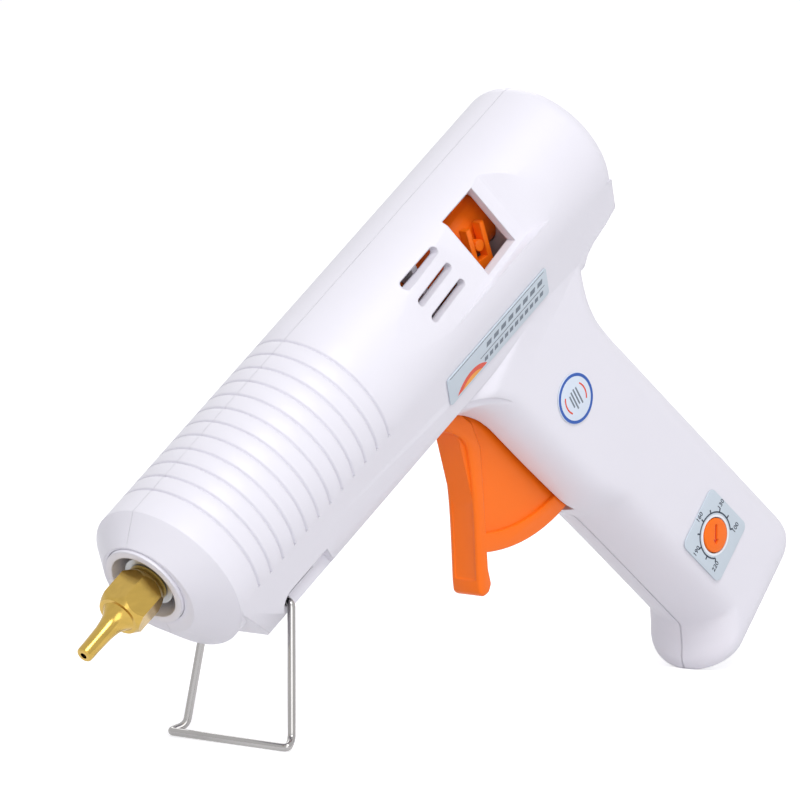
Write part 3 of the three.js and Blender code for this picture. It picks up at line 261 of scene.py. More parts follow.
# The sun on its lower edge and the sun's core: [drop of the middle, radius, start and end of the arc]
SUN_IN = 10
SUN_ARC = (5.2, 9.2, 42, 138)
SUN_CORE_ARC = (4.9, 7.4, 52, 128)
BADGE_UV = (15.4, 28.4)
BADGE_R = 6.8
# The ring's inner and outer edge, in from the badge's rim
BADGE_RING = (0.95, 0.12)
# The badge's arcs: inner and outer radius, and where each starts and ends
BADGE_ARC = (3.9, 4.35)
BADGE_ARC_ENDS = ((-38, 38), (142, 218))
BADGE_LINE_WIDTH = 0.5
# The badge's lines: [middle along, middle up, height]
BADGE_LINES = [(-1.7, 0.1, 3.6), (-0.7, -0.2, 5.4), (0.4, 0.3, 4.8), (1.5, -0.1, 5.2)]

# Dial
PLATE_SIDE = 18.6
PLATE_CORNER = 2
PLATE_UV = (17.6, 97.8)
KNOB_R = 4.6
KNOB_FACE = 0.8
KNOB_ROUND = 0.25
KNOB_SLOT_TURN = math.radians(37)
KNOB_SLOT_DEPTH = 0.5
HALO_R = 5.5
# The slot in the knob's face ends in an arrow
KNOB_ARROW = [(2.9, 0.45), (-1.1, 0.45), (-1.1, 1), (-2.6, 0), (-1.1, -1), (-1.1, -0.45), (2.9, -0.45)]
# The slot's coloured floor: its share of the arrow, and how deep its bottom and top lie
SLOT_FLOOR_SHARE = 0.96
SLOT_FLOOR_DEPTHS = (0.52, 0.46)
DIAL_ARC_R = 6.2
DIAL_LINE_HALF = 0.22
DIAL_FROM = -43
DIAL_STEP = 32.75
DIAL_TICKS = 9
DIAL_TICK = 1.05
DIAL_NUMBERS = ("100", "130", "160", "190", "220")
DIAL_NUMBER_R = 8.35
DIAL_NUMBER_SIZE = 2

# Facet counts
ROUND = 160
MEDIUM = 64
SMALL = 32
WIRE_SIDES = 20
SECTION_STEPS = 12
STATION_STEPS = 5
RIM_STEPS = 40
BAR_STEPS = 6
BEND_STEPS = 8

# Camera, fitted to the photograph, in the row frame
CAMERA_PLACE = (1.59268, 1.45932, 0.32681)
CAMERA_RIGHT = (-0.67825, 0.73483, -0.00168)
CAMERA_UP = (-0.08426, -0.0755, 0.99358)
CAMERA_LENS = 379.131
CAMERA_SENSOR = 36
CAMERA_FAR = 100

# Studio, in the row frame
LAMP_TARGET = (0, 0, 0.08)
# Each lamp: [name, place, size, power]
LAMPS = [
    ("key", (0.5, 1.0, 1.6), 0.9, 15),
    ("fill", (1.2, 1.5, 0.5), 1.4, 9),
    ("back", (-1.2, -1.2, 1.2), 1.0, 4),
]
WHITE = (1, 1, 1, 1)
SKY_COLOUR = (0.97, 0.97, 1, 1)
SKY_STRENGTH = 0.58
FLOOR_R = 6
FLOOR_COLOUR = (0.72, 0.72, 0.73, 1)
FLOOR_ROUGHNESS = 0.9
FLOOR_GLOW = 0.58


def row_matrix():
    """Takes a point of the gun's frame, in millimetres, to the row frame, in metres."""
    joints = {joint["name"]: joint for joint in frame["joints"]}
    forward = Vector(joints["carriage_slide"]["axis"]).normalized()
    up = Vector((-forward.z, 0, forward.x))
    turn = Matrix((forward, Vector((0, 1, 0)), up)).transposed().to_4x4()
    pivot = Vector(joints["trigger_pull"]["pos_m"])
    from_pivot = Matrix.Translation((-PIVOT_X, 0, -PIVOT_Z))
    return Matrix.Translation(pivot) @ turn @ Matrix.Scale(MM, 4) @ from_pivot


PLACE = row_matrix()


# Mesh helpers, which make closed solids in the gun's frame
def linked(name, data):
    """A new object of the scene that holds the data."""
    item = bpy.data.objects.new(name, data)
    bpy.context.scene.collection.objects.link(item)
    return item


def solid(points, faces):
    """A closed solid from its points and faces, with double points merged and faces turned outward."""
    mesh = bpy.data.meshes.new("solid")
    mesh.from_pydata(points, [], faces)
    work = bmesh.new()
    work.from_mesh(mesh)
    bmesh.ops.remove_doubles(work, verts=work.verts, dist=MERGE)
    bmesh.ops.recalc_face_normals(work, faces=work.faces)
    work.to_mesh(mesh)
    work.free()
    return linked("solid", mesh)


def stacked(sections):
    """A skin over sections with the same number of points, closed at both ends."""
    count = len(sections[0])
    points = [point for section in sections for point in section]
    faces = []
    for s in range(len(sections) - 1):
        for i in range(count):
            a, b = s * count + i, s * count + (i + 1) % count
            faces.append((a, b, b + count, a + count))
    last = len(points) - count
    return solid(points, faces + [tuple(range(count)), tuple(range(last, last + count))])


def prism_y(outline, low, high):
    return stacked([[(x, y, z) for x, z in outline] for y in (low, high)])


def prism_x(outline, low, high):
    return stacked([[(x, y, z) for y, z in outline] for x in (low, high)])


def box(low, high):
    corners = [(low[0], low[2]), (high[0], low[2]), (high[0], high[2]), (low[0], high[2])]
    return prism_y(corners, low[1], high[1])


def circle(radius, sides):
    angles = [math.tau * i / sides for i in range(sides)]
    return [(radius * math.cos(angle), radius * math.sin(angle)) for angle in angles]


def rod_y(x, z, radius, low, high, sides=SMALL):
    return prism_y([(x + a, z + b) for a, b in circle(radius, sides)], low, high)


def turned(profile, z=0, sides=ROUND):
    """A solid of revolution about a line along x at height z, from [x, radius] points."""
    return stacked([[(x, a, z + b) for a, b in circle(radius, sides)] for x, radius in profile])


def arc(x, z, radius, start, end, steps=SECTION_STEPS):
    angles = [math.radians(start + (end - start) * i / steps) for i in range(steps + 1)]
    return [(x + radius * math.cos(angle), z + radius * math.sin(angle)) for angle in angles]


def evaluated(item):
    """A mesh of the item as its modifiers or its curve make it."""
    graph = bpy.context.evaluated_depsgraph_get()
    return bpy.data.meshes.new_from_object(item.evaluated_get(graph), depsgraph=graph)


def baked(item):
    mesh = evaluated(item)
    item.modifiers.clear()
    item.data = mesh
    return item


def changed(base, others, operation):
    """The base after one boolean with each of the others, which are used up."""
    for other in others:
        change = base.modifiers.new(operation, "BOOLEAN")
        change.operation = operation
        change.solver = "MANIFOLD"
        change.object = other
    baked(base)
    for other in others:
        bpy.data.objects.remove(other)
    return base


def joined(base, *others):
    return changed(base, others, "UNION")


def without(base, *others):
    return changed(base, others, "DIFFERENCE")


def common(base, *others):
    return changed(base, others, "INTERSECT")


def copied(item):
    return linked(item.name, item.data.copy())


def mirrored(item):
    """The same solid on the other side of the parting plane."""
    item.data.transform(Matrix.Diagonal((1, -1, 1, 1)))
    item.data.flip_normals()
    return item


def rounded(item, width, segments=3, angle=40):
    """Rounds the solid's sharp edges."""
    bevel = item.modifiers.new("round", "BEVEL")
    bevel.width = width
    bevel.segments = segments
    bevel.limit_method = "ANGLE"
    bevel.angle_limit = math.radians(angle)
    bevel.harden_normals = False
    return baked(item)


def smooth_through(points, steps):
    """A smooth open line through points, Catmull-Rom."""
    padded = [points[0], *points, points[-1]]
    line = []
    for a, b, c, d in zip(padded, padded[1:], padded[2:], padded[3:]):
        for i in range(steps):
            t = i / steps
            line.append(tuple(
                0.5 * (2 * q + (r - p) * t + (2 * p - 5 * q + 4 * r - s) * t * t
                       + (3 * q - p - 3 * r + s) * t ** 3)
                for p, q, r, s in zip(a, b, c, d)))
    return [*line, points[-1]]


def swept(path, radius, sides):
    """A round wire along a line of points."""
    line = [Vector(point) for point in path]
    sections = []
    side = None
    for i, point in enumerate(line):
        along = (line[min(i + 1, len(line) - 1)] - line[max(i - 1, 0)]).normalized()
        if side is None:
            side = along.orthogonal()
        side = (side - along * side.dot(along)).normalized()
        across = along.cross(side)
        sections.append([tuple(point + side * a + across * b) for a, b in circle(radius, sides)])
    return stacked(sections)


def dressed(item, name, body, finish, replaced=(), sharp=35, axes=None):
    """Places a finished solid in the row frame, out of a label's axes if it has them, and says what it is."""
    item.name = name
    item.data.name = name
    if axes is not None:
        item.data.transform(axes)
    item.data.transform(PLACE)
    item.data.materials.clear()
    item.data.materials.append(finish)
    item.data.shade_smooth()
    item.data.set_sharp_from_angle(angle=math.radians(sharp))
    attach(item, body)
    if replaced:
        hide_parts(*replaced)


# Materials, whose grain's depth is in metres
GRAIN_DEPTH = 0.00002


def linear(red, green, blue):
    """A colour as seen on screen, 0 to 255, as the shader takes it."""
    values = [value / 255 for value in (red, green, blue)]
    return (*[v / 12.92 if v <= 0.04045 else ((v + 0.055) / 1.055) ** 2.4 for v in values], 1)


def material(name, colour, roughness, metallic=0, tint=0.03, cloud=60, grain=1400, bump=0.06,
             spread=0.08, edge=0, specular=0.5, stretch=(1, 1, 1)):
    """A finish, slightly cloudy in its colour, with a fine grain in gloss and surface, and soft edges."""
    made = bpy.data.materials.new(name)
    made.use_nodes = True
    nodes, links = made.node_tree.nodes, made.node_tree.links
    shader = nodes["Principled BSDF"]
    shader.inputs["Metallic"].default_value = metallic
    shader.inputs["Specular IOR Level"].default_value = specular
    place = nodes.new("ShaderNodeTexCoord")
    scaled = nodes.new("ShaderNodeMapping")
    scaled.inputs["Scale"].default_value = stretch
    links.new(place.outputs["Object"], scaled.inputs["Vector"])
    clouds = nodes.new("ShaderNodeTexNoise")
    clouds.inputs["Scale"].default_value = cloud
    clouds.inputs["Detail"].default_value = 4
    links.new(scaled.outputs["Vector"], clouds.inputs["Vector"])
    colours = nodes.new("ShaderNodeMix")
    colours.data_type = "RGBA"
    colours.inputs["A"].default_value = (*[c * (1 - tint) for c in colour[:3]], 1)
    colours.inputs["B"].default_value = (*[min(1, c * (1 + tint)) for c in colour[:3]], 1)
    links.new(clouds.outputs["Fac"], colours.inputs["Factor"])
    links.new(colours.outputs["Result"], shader.inputs["Base Color"])
    grains = nodes.new("ShaderNodeTexNoise")
    grains.inputs["Scale"].default_value = grain
    grains.inputs["Detail"].default_value = 2
    links.new(scaled.outputs["Vector"], grains.inputs["Vector"])
    gloss = nodes.new("ShaderNodeMapRange")
    gloss.inputs["To Min"].default_value = roughness - spread
    gloss.inputs["To Max"].default_value = roughness + spread
    links.new(grains.outputs["Fac"], gloss.inputs["Value"])
    links.new(gloss.outputs["Result"], shader.inputs["Roughness"])
    relief = nodes.new("ShaderNodeBump")
    relief.inputs["Strength"].default_value = bump
    relief.inputs["Distance"].default_value = GRAIN_DEPTH
    links.new(grains.outputs["Fac"], relief.inputs["Height"])
    links.new(relief.outputs["Normal"], shader.inputs["Normal"])
    if edge:
        soft = nodes.new("ShaderNodeBevel")
        soft.samples = 4
        soft.inputs["Radius"].default_value = edge * MM
        links.new(soft.outputs["Normal"], relief.inputs["Normal"])
    return made


BODY_WHITE = linear(231, 229, 237)
ORANGE = linear(255, 116, 18)
FINISHES = {
    "white_plastic": material("white_plastic", BODY_WHITE, 0.42, tint=0.012, edge=0.5),
    "orange_plastic": material("orange_plastic", ORANGE, 0.34, tint=0.04, edge=0.4, specular=0.25),
    "brass": material("brass", linear(192, 160, 82), 0.2, 1, tint=0.16, cloud=110, grain=2500, spread=0.08,
                      stretch=(1, 6, 6)),
    "cast_aluminium": material(
        "cast_aluminium", linear(182, 184, 186), 0.48, 1, grain=700, bump=0.3, edge=0.3),
    "ceramic": material("ceramic", linear(236, 230, 216), 0.75, bump=0.2),
    "steel": material("steel", linear(176, 178, 182), 0.32, 1, spread=0.1, stretch=(1, 8, 1)),
    "silicone": material("silicone", linear(170, 62, 44), 0.66, bump=0.15, edge=0.4),
    "board_green": material("board_green", linear(44, 98, 56), 0.42, tint=0.12, cloud=300),
    "black_plastic": material("black_plastic", linear(34, 34, 37), 0.5, tint=0.1, edge=0.3),
    "black_rubber": material("black_rubber", linear(30, 30, 31), 0.72, bump=0.3, edge=0.5),
    "capacitor_red": material("capacitor_red", linear(168, 50, 38), 0.4, edge=0.6),
    "terminal_blue": material("terminal_blue", linear(64, 124, 176), 0.45, edge=0.3),
    "lead_red": material("lead_red", linear(160, 34, 32), 0.45),
    "label_film": material("label_film", linear(200, 211, 221), 0.4, tint=0.03, cloud=400),
    "badge_film": material("badge_film", linear(216, 226, 240), 0.34, tint=0.03, cloud=500),
    "chrome_wire": material("chrome_wire", linear(168, 166, 165), 0.16, 1, tint=0.1, grain=3000, spread=0.05),
}
INK_DARK = material("ink_dark", linear(52, 62, 78), 0.5, tint=0.1, cloud=500)
INK_GREY = material("ink_grey", linear(112, 122, 134), 0.5, tint=0.1, cloud=500)
INK_BLUE = material("ink_blue", linear(28, 84, 172), 0.36, tint=0.08, cloud=500)
INK_RED = material("ink_red", linear(222, 66, 28), 0.4, tint=0.15, cloud=700)
INK_AMBER = material("ink_amber", linear(246, 158, 36), 0.4, tint=0.15, cloud=700)
INK_WHITE = material("ink_white", linear(236, 240, 246), 0.4, tint=0.02, cloud=500)


# The housing's masses
def grip(u, v):
    """A point of the grip: u runs back from its straight front line and v runs down along it."""
    x = -GRIP_FRONT - u * math.cos(RAKE) - v * math.sin(RAKE)
    return x, -KEEL_DROP + u * math.sin(RAKE) - v * math.cos(RAKE)


def grip_section(v, front, back, half):
    front_round = min(GRIP_FRONT_ROUND, (back - front) / 2)
    back_round = min(GRIP_BACK_ROUND, (back - front) / 2)
    back_half = min(GRIP_BACK_ROUND_Y, half)
    quarter = [math.pi / 2 * i / SECTION_STEPS for i in range(SECTION_STEPS + 1)]
    side = [(front + front_round * (1 - math.cos(a)), half * math.sin(a)) for a in quarter]
    side += [(back - back_round * (1 - math.sin(a)), half - back_half * (1 - math.cos(a))) for a in quarter]
    both = side + [(u, -y) for u, y in reversed(side[1:])]
    return [(grip(u, v)[0], y, grip(u, v)[1]) for u, y in both]


def slopes(at, values):
    """Slopes of a smooth line through the values that never runs past them."""
    steps = [(b - a) / (q - p) for p, q, a, b in zip(at, at[1:], values, values[1:])]
    inner = [0 if a * b <= 0 else 2 * a * b / (a + b) for a, b in zip(steps, steps[1:])]
    return [steps[0], *inner, steps[-1]]


def grip_stations(inset):
    """The stations of the grip, with finer ones between them on a smooth line."""
    end = GRIP_LENGTH - HOLLOW_END * inset
    kept = [row for row in GRIP_STATION_SHARES if not inset or row[0] * GRIP_LENGTH <= end]
    columns = list(zip(*kept))
    downs = columns[0]
    turns = [slopes(downs, column) for column in columns]
    fine = []
    for i in range(len(kept) - 1):
        run = downs[i + 1] - downs[i]
        for k in range(STATION_STEPS):
            t = k / STATION_STEPS
            weights = (
                2 * t ** 3 - 3 * t * t + 1, t ** 3 - 2 * t * t + t,
                3 * t * t - 2 * t ** 3, t ** 3 - t * t)
            fine.append([
                weights[0] * column[i] + weights[1] * run * turn[i]
                + weights[2] * column[i + 1] + weights[3] * run * turn[i + 1]
                for column, turn in zip(columns, turns)])
    return [*fine, kept[-1]]


def grip_body(inset):
    sections = []
    for down, front, back, wide in grip_stations(inset):
        reach = TOE_REACH / TOE_START_SHARE if down > TOE_START_SHARE else BELLY_REACH
        sections.append(grip_section(
            down * GRIP_LENGTH, front * reach + inset, GRIP_DEPTH + back * WEB_REACH - inset,
            wide * GRIP_HALF - inset))
    return stacked(sections)


def barrel_body():
    """The round barrel with its ring grooves, its small raised nose face and its rounded rear."""
    profile = [(-NOSE_BACK - NOSE_CHAMFER, BARREL_R)]
    for i in range(GROOVE_COUNT):
        middle = -GROOVE_FIRST - i * GROOVE_PITCH
        profile += [(middle + out, BARREL_R - depth) for out, depth in GROOVE_SECTION]
        profile += [(middle - out, BARREL_R - depth) for out, depth in reversed(GROOVE_SECTION[:-1])]
    round_x = -BARREL_REAR + BARREL_REAR_ROUND
    x = profile[-1][0] - BARREL_BAY
    while x > round_x + BARREL_BAY:
        profile.append((x, BARREL_R))
        x -= BARREL_BAY
    profile += arc(round_x, BARREL_R - BARREL_REAR_ROUND, BARREL_REAR_ROUND, 90, 180)
    face = [(-NOSE_BACK, a, NOSE_LIFT + b) for a, b in circle(NOSE_R, ROUND)]
    skin = [[(x, a, b) for a, b in circle(radius, ROUND)] for x, radius in profile]
    return without(stacked([face, *skin]), tail_cut(0))


def tail_cut(inset):
    """What the tail's rising underside leaves out."""
    line = [(-back, inset - drop) for back, drop in TAIL_LINE]
    below = -KEEL_DROP - 2 * CUT_OVER
    return prism_y([*line, (line[-1][0], below), (line[0][0], below)], -FAR, FAR)


def keel_body(inset):
    """The leaning flanks and flat keel under the barrel, cut back at the nose and lifted at the tail."""
    reach = BARREL_R - inset
    floor = KEEL_DROP - inset
    low_half = reach / math.cos(FLANK_LEAN) - floor * math.tan(FLANK_LEAN)
    right = [
        (reach * math.cos(FLANK_LEAN), -reach * math.sin(FLANK_LEAN)),
        (low_half + KEEL_EDGE * math.tan(FLANK_LEAN), -floor + KEEL_EDGE), (low_half - KEEL_EDGE, -floor)]
    left = [(-y, z) for y, z in reversed(right)]
    long = prism_x(right + left, -BARREL_REAR + BARREL_REAR_ROUND / 2 + inset, -NOSE_BACK - inset)
    below = -KEEL_DROP - CUT_OVER
    nose_cut = prism_y([
        (-KEEL_FRONT - inset, -KEEL_DROP), (-KEEL_FRONT - inset, below), (CUT_OVER, below),
        (CUT_OVER, -KEEL_DROP + KEEL_FRONT_RISE * 2), (-NOSE_BACK - inset, -KEEL_DROP + KEEL_FRONT_RISE * 2),
        (-KEEL_FRONT + KEEL_FRONT_RUN - inset, -KEEL_DROP + KEEL_FRONT_RISE)], -FAR, FAR)
    corner_r = math.hypot(BARREL_R / math.cos(FLANK_LEAN) - KEEL_DROP * math.tan(FLANK_LEAN), KEEL_DROP)
    cone = turned([
        (-NOSE_BACK - inset, NOSE_R - NOSE_LIFT - CHIN_TUCK),
        (-NOSE_BACK - NOSE_CHAMFER - inset, BARREL_R - CHIN_TUCK),
        (-KEEL_FRONT - inset, corner_r), (-BARREL_REAR - CUT_OVER, corner_r)])
    return common(without(long, nose_cut, tail_cut(inset)), cone)


def facet_cut(moved=0):
    """The leaning facet in the left side, the slanted step behind it and the ledge below it."""
    normal = Vector((0, math.cos(FACET_LEAN), math.sin(FACET_LEAN)))
    along = Vector((0, -math.sin(FACET_LEAN), math.cos(FACET_LEAN)))
    low = -math.tan(FACET_LEAN) * BARREL_R
    far = 2 * BARREL_R
    sections = []
    for x, reach in ((-FACET_START, BARREL_R), (-FACET_REAR, BARREL_R - FACET_DEPTH),
                     (-FACET_REAR - STEP_RUN, BARREL_R + FIT)):
        corners = ((reach, low), (far, low), (far, far), (reach, far))
        sections.append([tuple(Vector((x, 0, 0)) + normal * out + along * up) for out, up in corners])
    cut = common(stacked(sections), box((-BARREL_REAR, 0, 0), (0, far, far)))
    cut.data.transform(Matrix.Translation((0, -moved, -moved / 2)))
    return cut


def hollow_body(inset):
    """Barrel, keel and grip as one solid, drawn in by the inset."""
    tube = turned([
        (-NOSE_BACK - NOSE_CHAMFER - inset, BARREL_R - inset),
        (-BARREL_REAR + inset + BARREL_REAR_ROUND / 2, BARREL_R - inset),
        (-BARREL_REAR + inset, BARREL_R - inset - BARREL_REAR_ROUND / 2)])
    tube = without(tube, tail_cut(inset))
    return without(joined(tube, keel_body(inset), grip_body(inset)), facet_cut(inset))


def screw_places():
    """Where the screws stand, as x and z."""
    keel_z = -KEEL_DROP + WALL + BOSS_R + FIT
    back_u = GRIP_DEPTH - WALL - BOSS_R
    return [
        (-KEEL_FRONT - POCKET_LENGTH - POCKET_OFF * BOSS_R, keel_z),
        (-FACET_START + BOSS_R, keel_z),
        (-BARREL_REAR + WALL + REAR_OFF_FAR * BOSS_R, BARREL_R - WALL - REAR_OFF_NEAR * BOSS_R),
        (-BARREL_REAR + WALL + REAR_OFF_NEAR * BOSS_R, -BARREL_R + WALL + REAR_OFF_FAR * BOSS_R),
        grip(back_u, 2 * WEB_REACH - BOSS_R),
        grip(GRIP_DEPTH / 3, GRIP_LENGTH / 2 + MIDDLE_SCREW_DROP),
        grip(back_u, GRIP_LENGTH - BUTT_OFF * BOSS_R),
    ]


def opening(front, length, low, high, inner, corner=0):
    """A window or slot in from the side to y = inner, with round ends where it has a corner radius."""
    x0, x1, middle = -front - length, -front, (low + high) / 2
    outline = [(x0, low), (x1, low), (x1, high), (x0, high)]
    if corner:
        outline = arc(x1 - corner, middle, corner, -90, 90) + arc(x0 + corner, middle, corner, 90, 270)
    return prism_y(outline, inner, 2 * BARREL_R)


def vents():
    lows = [VENT_LOW - VENT_WIDTH / 2 + i * VENT_PITCH for i in range(VENT_COUNT)]
    return [opening(VENT_FRONT, VENT_LENGTH, low, low + VENT_WIDTH, VENT_IN, VENT_WIDTH / 2) for low in lows]


def seam():
    """The fine line between the halves, down the grip's front and back and round its toe."""
    skin = without(grip_body(-SEAM_DEPTH), grip_body(SEAM_DEPTH))
    half = SEAM_WIDTH / 2
    return common(skin, box((-2 * BARREL_REAR, -half, -BARREL_REAR), (0, half, -KEEL_DROP - SEAM_START)))


def scoop():
    """The shallow round step beside the trigger."""
    cut = rod_y(0, 0, SCOOP_R, 0, BARREL_R, ROUND)
    cut.data.transform(Matrix.Translation((SCOOP_X, GRIP_HALF - SCOOP_R * math.sin(SCOOP_TILT), SCOOP_Z))
                       @ Matrix.Rotation(-SCOOP_TILT, 4, "Z"))
    return cut


def pocket():
    """The recess in the keel's flank round the stand's end."""
    x, z = STAND_PIVOT
    half = POCKET_HEIGHT / 2
    return prism_y([
        (x + half, z - POCKET_HEIGHT), (x + half, z), *arc(x, z, half, 0, 90),
        (x - POCKET_LENGTH, z + half), (x - POCKET_LENGTH - half, z - POCKET_HEIGHT)], POCKET_HALF, FAR)


def ribs(rooted):
    """The plates inside the shells that carry the melt chamber and the feed carriage."""
    guide_half = CARRIAGE_R + GUIDE_OVER
    plates = [box((-x - RIB, -FAR, -FAR), (-x, FAR, FAR)) for x in CHAMBER_RIBS]
    chamber = without(
        joined(*plates), turned([(-FACET_START, CHAMBER_R + FIT), (0, CHAMBER_R + FIT)], FEED_Z, MEDIUM),
        box((-FACET_START, -HEATER_R - WALL, HEATER_Z - HEATER_R - WALL), (0, HEATER_R + WALL, 0)),
        box((-FACET_START, -FAR, -FAR), (0, FAR, -KEEL_DROP / 2)))
    guides = [box((-x - RIB, -guide_half, -drop), (-x, guide_half, FAR)) for x, drop in GUIDE_RIBS]
    carriage = without(
        joined(*guides),
        turned([(-BARREL_REAR, CARRIAGE_R + FIT), (-FACET_START, CARRIAGE_R + FIT)], FEED_Z, MEDIUM))
    return common(joined(chamber, carriage), copied(rooted))


def shell_stock():
    """Barrel, keel and grip as one hollow mass, with its bosses, ribs and the cuts that both shells share."""
    rooted = hollow_body(WALL / 2)
    posts = joined(*[rod_y(x, z, BOSS_R, -FAR, FAR) for x, z in screw_places()])
    hub = common(rod_y(PIVOT_X, PIVOT_Z, AXLE_POST_R, -FAR, FAR), copied(rooted))
    room = HUB_R + FIT
    hub = without(hub, rod_y(PIVOT_X, PIVOT_Z, AXLE_ROOM_R, -2 * room + FIT, room))
    stock = without(joined(barrel_body(), keel_body(0), grip_body(0)), hollow_body(WALL))
    stock = joined(stock, common(posts, copied(rooted)), ribs(rooted), hub)
    bpy.data.objects.remove(rooted)
    gap = TRIGGER_HALF + 2 * FIT
    slot = common(
        rod_y(PIVOT_X, PIVOT_Z, SECTOR_R + SLOT_CLEAR, -gap, gap, ROUND),
        box((PIVOT_X - SLOT_BEHIND, -FAR, -SLOT_DROP),
            (-GRIP_FRONT + SLOT_AHEAD, FAR, -KEEL_DROP + SLOT_OVER)))
    collar_r = COLLAR_R + COLLAR_GAP
    cuts = [
        slot, seam(), pocket(), mirrored(pocket()),
        rod_y(*STAND_PIVOT, STAND_WIRE_R + FIT, -FAR, FAR),
        rod_y(PIVOT_X, PIVOT_Z, AXLE_R + FIT, -GRIP_HALF + WALL, GRIP_HALF - WALL),
        turned([(-NOSE_BACK - COLLAR_DEPTH, collar_r), (0, collar_r)], FEED_Z),
        turned([
            (-NOSE_BACK - NOSE_CHAMFER - 2 * WALL, COLLAR_BORE_R), (-NOSE_BACK, COLLAR_BORE_R)],
            FEED_Z, MEDIUM),
        turned([(-BARREL_REAR - CUT_OVER, INLET_R), (-INLET_START, INLET_R)], FEED_Z, MEDIUM),
        gland_hole()]
    for x, z in screw_places():
        cuts.append(rod_y(x, z, SCREW_R + FIT, -FAR, SCREW_LENGTH / 2))
        cuts.append(rod_y(x, z, SCREW_HEAD_R + FIT, -FAR, -SCREW_LENGTH / 2))
    return without(stock, *cuts)


def gland_hole():
    """The mains lead's hole, along the grip's axis through the butt."""
    ends = []
    across = (math.cos(RAKE), -math.sin(RAKE))
    for v in (GRIP_LENGTH - GLAND_DEPTH, GRIP_LENGTH + CUT_OVER):
        x, z = grip(GLAND_U, v)
        ends.append([(x + across[0] * a, b, z + across[1] * a) for a, b in circle(GLAND_R + FIT, MEDIUM)])
    return stacked(ends)


def housing():
    stock = shell_stock()
    far = 4 * BARREL_R
    rear = -2 * BARREL_REAR
    knob_x, knob_z = grip(*PLATE_UV)
    left = common(copied(stock), box((rear, SEAM / 2, -BARREL_REAR), (far, far, BARREL_REAR)))
    left = without(left, facet_cut(), opening(**WINDOW), *vents(), scoop(),
                   rod_y(knob_x, knob_z, KNOB_R + FIT, 0, far, MEDIUM))
    right = common(stock, box((rear, -far, -BARREL_REAR), (far, -SEAM / 2, BARREL_REAR)))
    right = without(right, *[mirrored(vent) for vent in vents()], mirrored(scoop()))
    white = FINISHES["white_plastic"]
    dressed(left, "shell_left", "housing", white, ["housing_left"])
    dressed(right, "shell_right", "housing", white, ["housing_right"])


# Nose pieces
def collar():
    front, back = -NOSE_BACK + COLLAR_PROUD, -NOSE_BACK - COLLAR_DEPTH + FIT
    ring = turned([(back, COLLAR_R), (front, COLLAR_R)], FEED_Z)
    bore = turned([(back - CUT_OVER, COLLAR_BORE_R), (front + CUT_OVER, COLLAR_BORE_R)], FEED_Z)
    item = rounded(without(ring, bore), COLLAR_ROUND)
    dressed(item, "nose_ring", "housing", FINISHES["white_plastic"], ["nose_collar"])


def nozzle():
    shoulder = NOZZLE_CONE[-1][1]
    rear = [(NOZZLE_SEAT, shoulder), (NOZZLE_SEAT, NECK_R), (NECK_BACK, NECK_R)]
    cone = turned([(-back, radius) for back, radius in NOZZLE_CONE + rear], FEED_Z, MEDIUM)
    reach = HEX_FLATS / 2 / math.cos(math.radians(30))
    turns = [math.radians(60 * i + HEX_TURN) for i in range(6)]
    corners = [(reach * math.cos(turn), FEED_Z + reach * math.sin(turn)) for turn in turns]
    outside = reach + FIT
    run = HEX_SLOPE * (outside - shoulder)
    chamfers = turned([
        (-HEX_FRONT, shoulder), (-HEX_FRONT - run, outside),
        (-HEX_BACK + run, outside), (-HEX_BACK, shoulder)], FEED_Z)
    hexagon = common(prism_x(corners, -HEX_BACK, -HEX_FRONT), chamfers)
    bore = turned([
        (CUT_OVER, NOZZLE_BORE_R), (-NOZZLE_BORE_STEP, NOZZLE_BORE_R),
        (-HEX_BACK, NECK_R / 2), (-NECK_BACK - CUT_OVER, NECK_R / 2)], FEED_Z, SMALL)
    item = without(joined(cone, hexagon), bore)
    dressed(item, "brass_nozzle", "housing", FINISHES["brass"], ["nozzle"], sharp=24)


# Trigger
def at_share(reach, drop):
    """A point of the trigger, from its shares of the reach and of the drop."""
    return PIVOT_X + reach * TRIGGER_REACH, PIVOT_Z - drop * TRIGGER_DROP


def finger_bar():
    """The bar that the finger pulls, with a dished front."""
    front = smooth_through([at_share(*shares) for shares in BAR_FRONT_SHARES], BAR_STEPS)
    outline = [at_share(*shares) for shares in BAR_SHARES]
    first = BAR_SHARES.index(BAR_FRONT_SHARES[0])
    outline[first:first + len(BAR_FRONT_SHARES)] = front
    solid_bar = rounded(prism_y(outline, -TRIGGER_HALF, TRIGGER_HALF), BAR_ROUND, segments=4, angle=30)
    dish_half = TRIGGER_HALF - DISH_EDGE
    in_x, in_z = [DISH_DEPTH * share for share in DISH_WAY_SHARES]
    edge = [(x + in_x, z + in_z) for x, z in front]
    ahead = [(x + TRIGGER_HALF, z) for x, z in (front[-1], front[0])]
    dish = rounded(prism_y(edge + ahead, -dish_half, dish_half), DISH_ROUND, angle=30)
    return without(solid_bar, dish)


def sector():
    """The plate that slides into the grip, and its raised rim."""
    inner = SECTOR_R - SECTOR_RIM
    rim = prism_y(
        arc(PIVOT_X, PIVOT_Z, SECTOR_R, -SECTOR_END, -SECTOR_START, RIM_STEPS)
        + arc(PIVOT_X, PIVOT_Z, inner, -SECTOR_START, -SECTOR_END, RIM_STEPS), -TRIGGER_HALF, TRIGGER_HALF)
    start, end = -SECTOR_END + PLATE_SHORT, -SECTOR_START - PLATE_SHORT
    plate = prism_y(
        arc(PIVOT_X, PIVOT_Z, SECTOR_R - SECTOR_RIM / 2, start, end, RIM_STEPS)
        + [at_share(*PLATE_CORNER_SHARES), (PIVOT_X, PIVOT_Z + HUB_R / 2), (PIVOT_X - HUB_R / 2, PIVOT_Z)],
        -SECTOR_HALF, SECTOR_HALF)
    return [plate, rounded(rim, RIM_ROUND)]


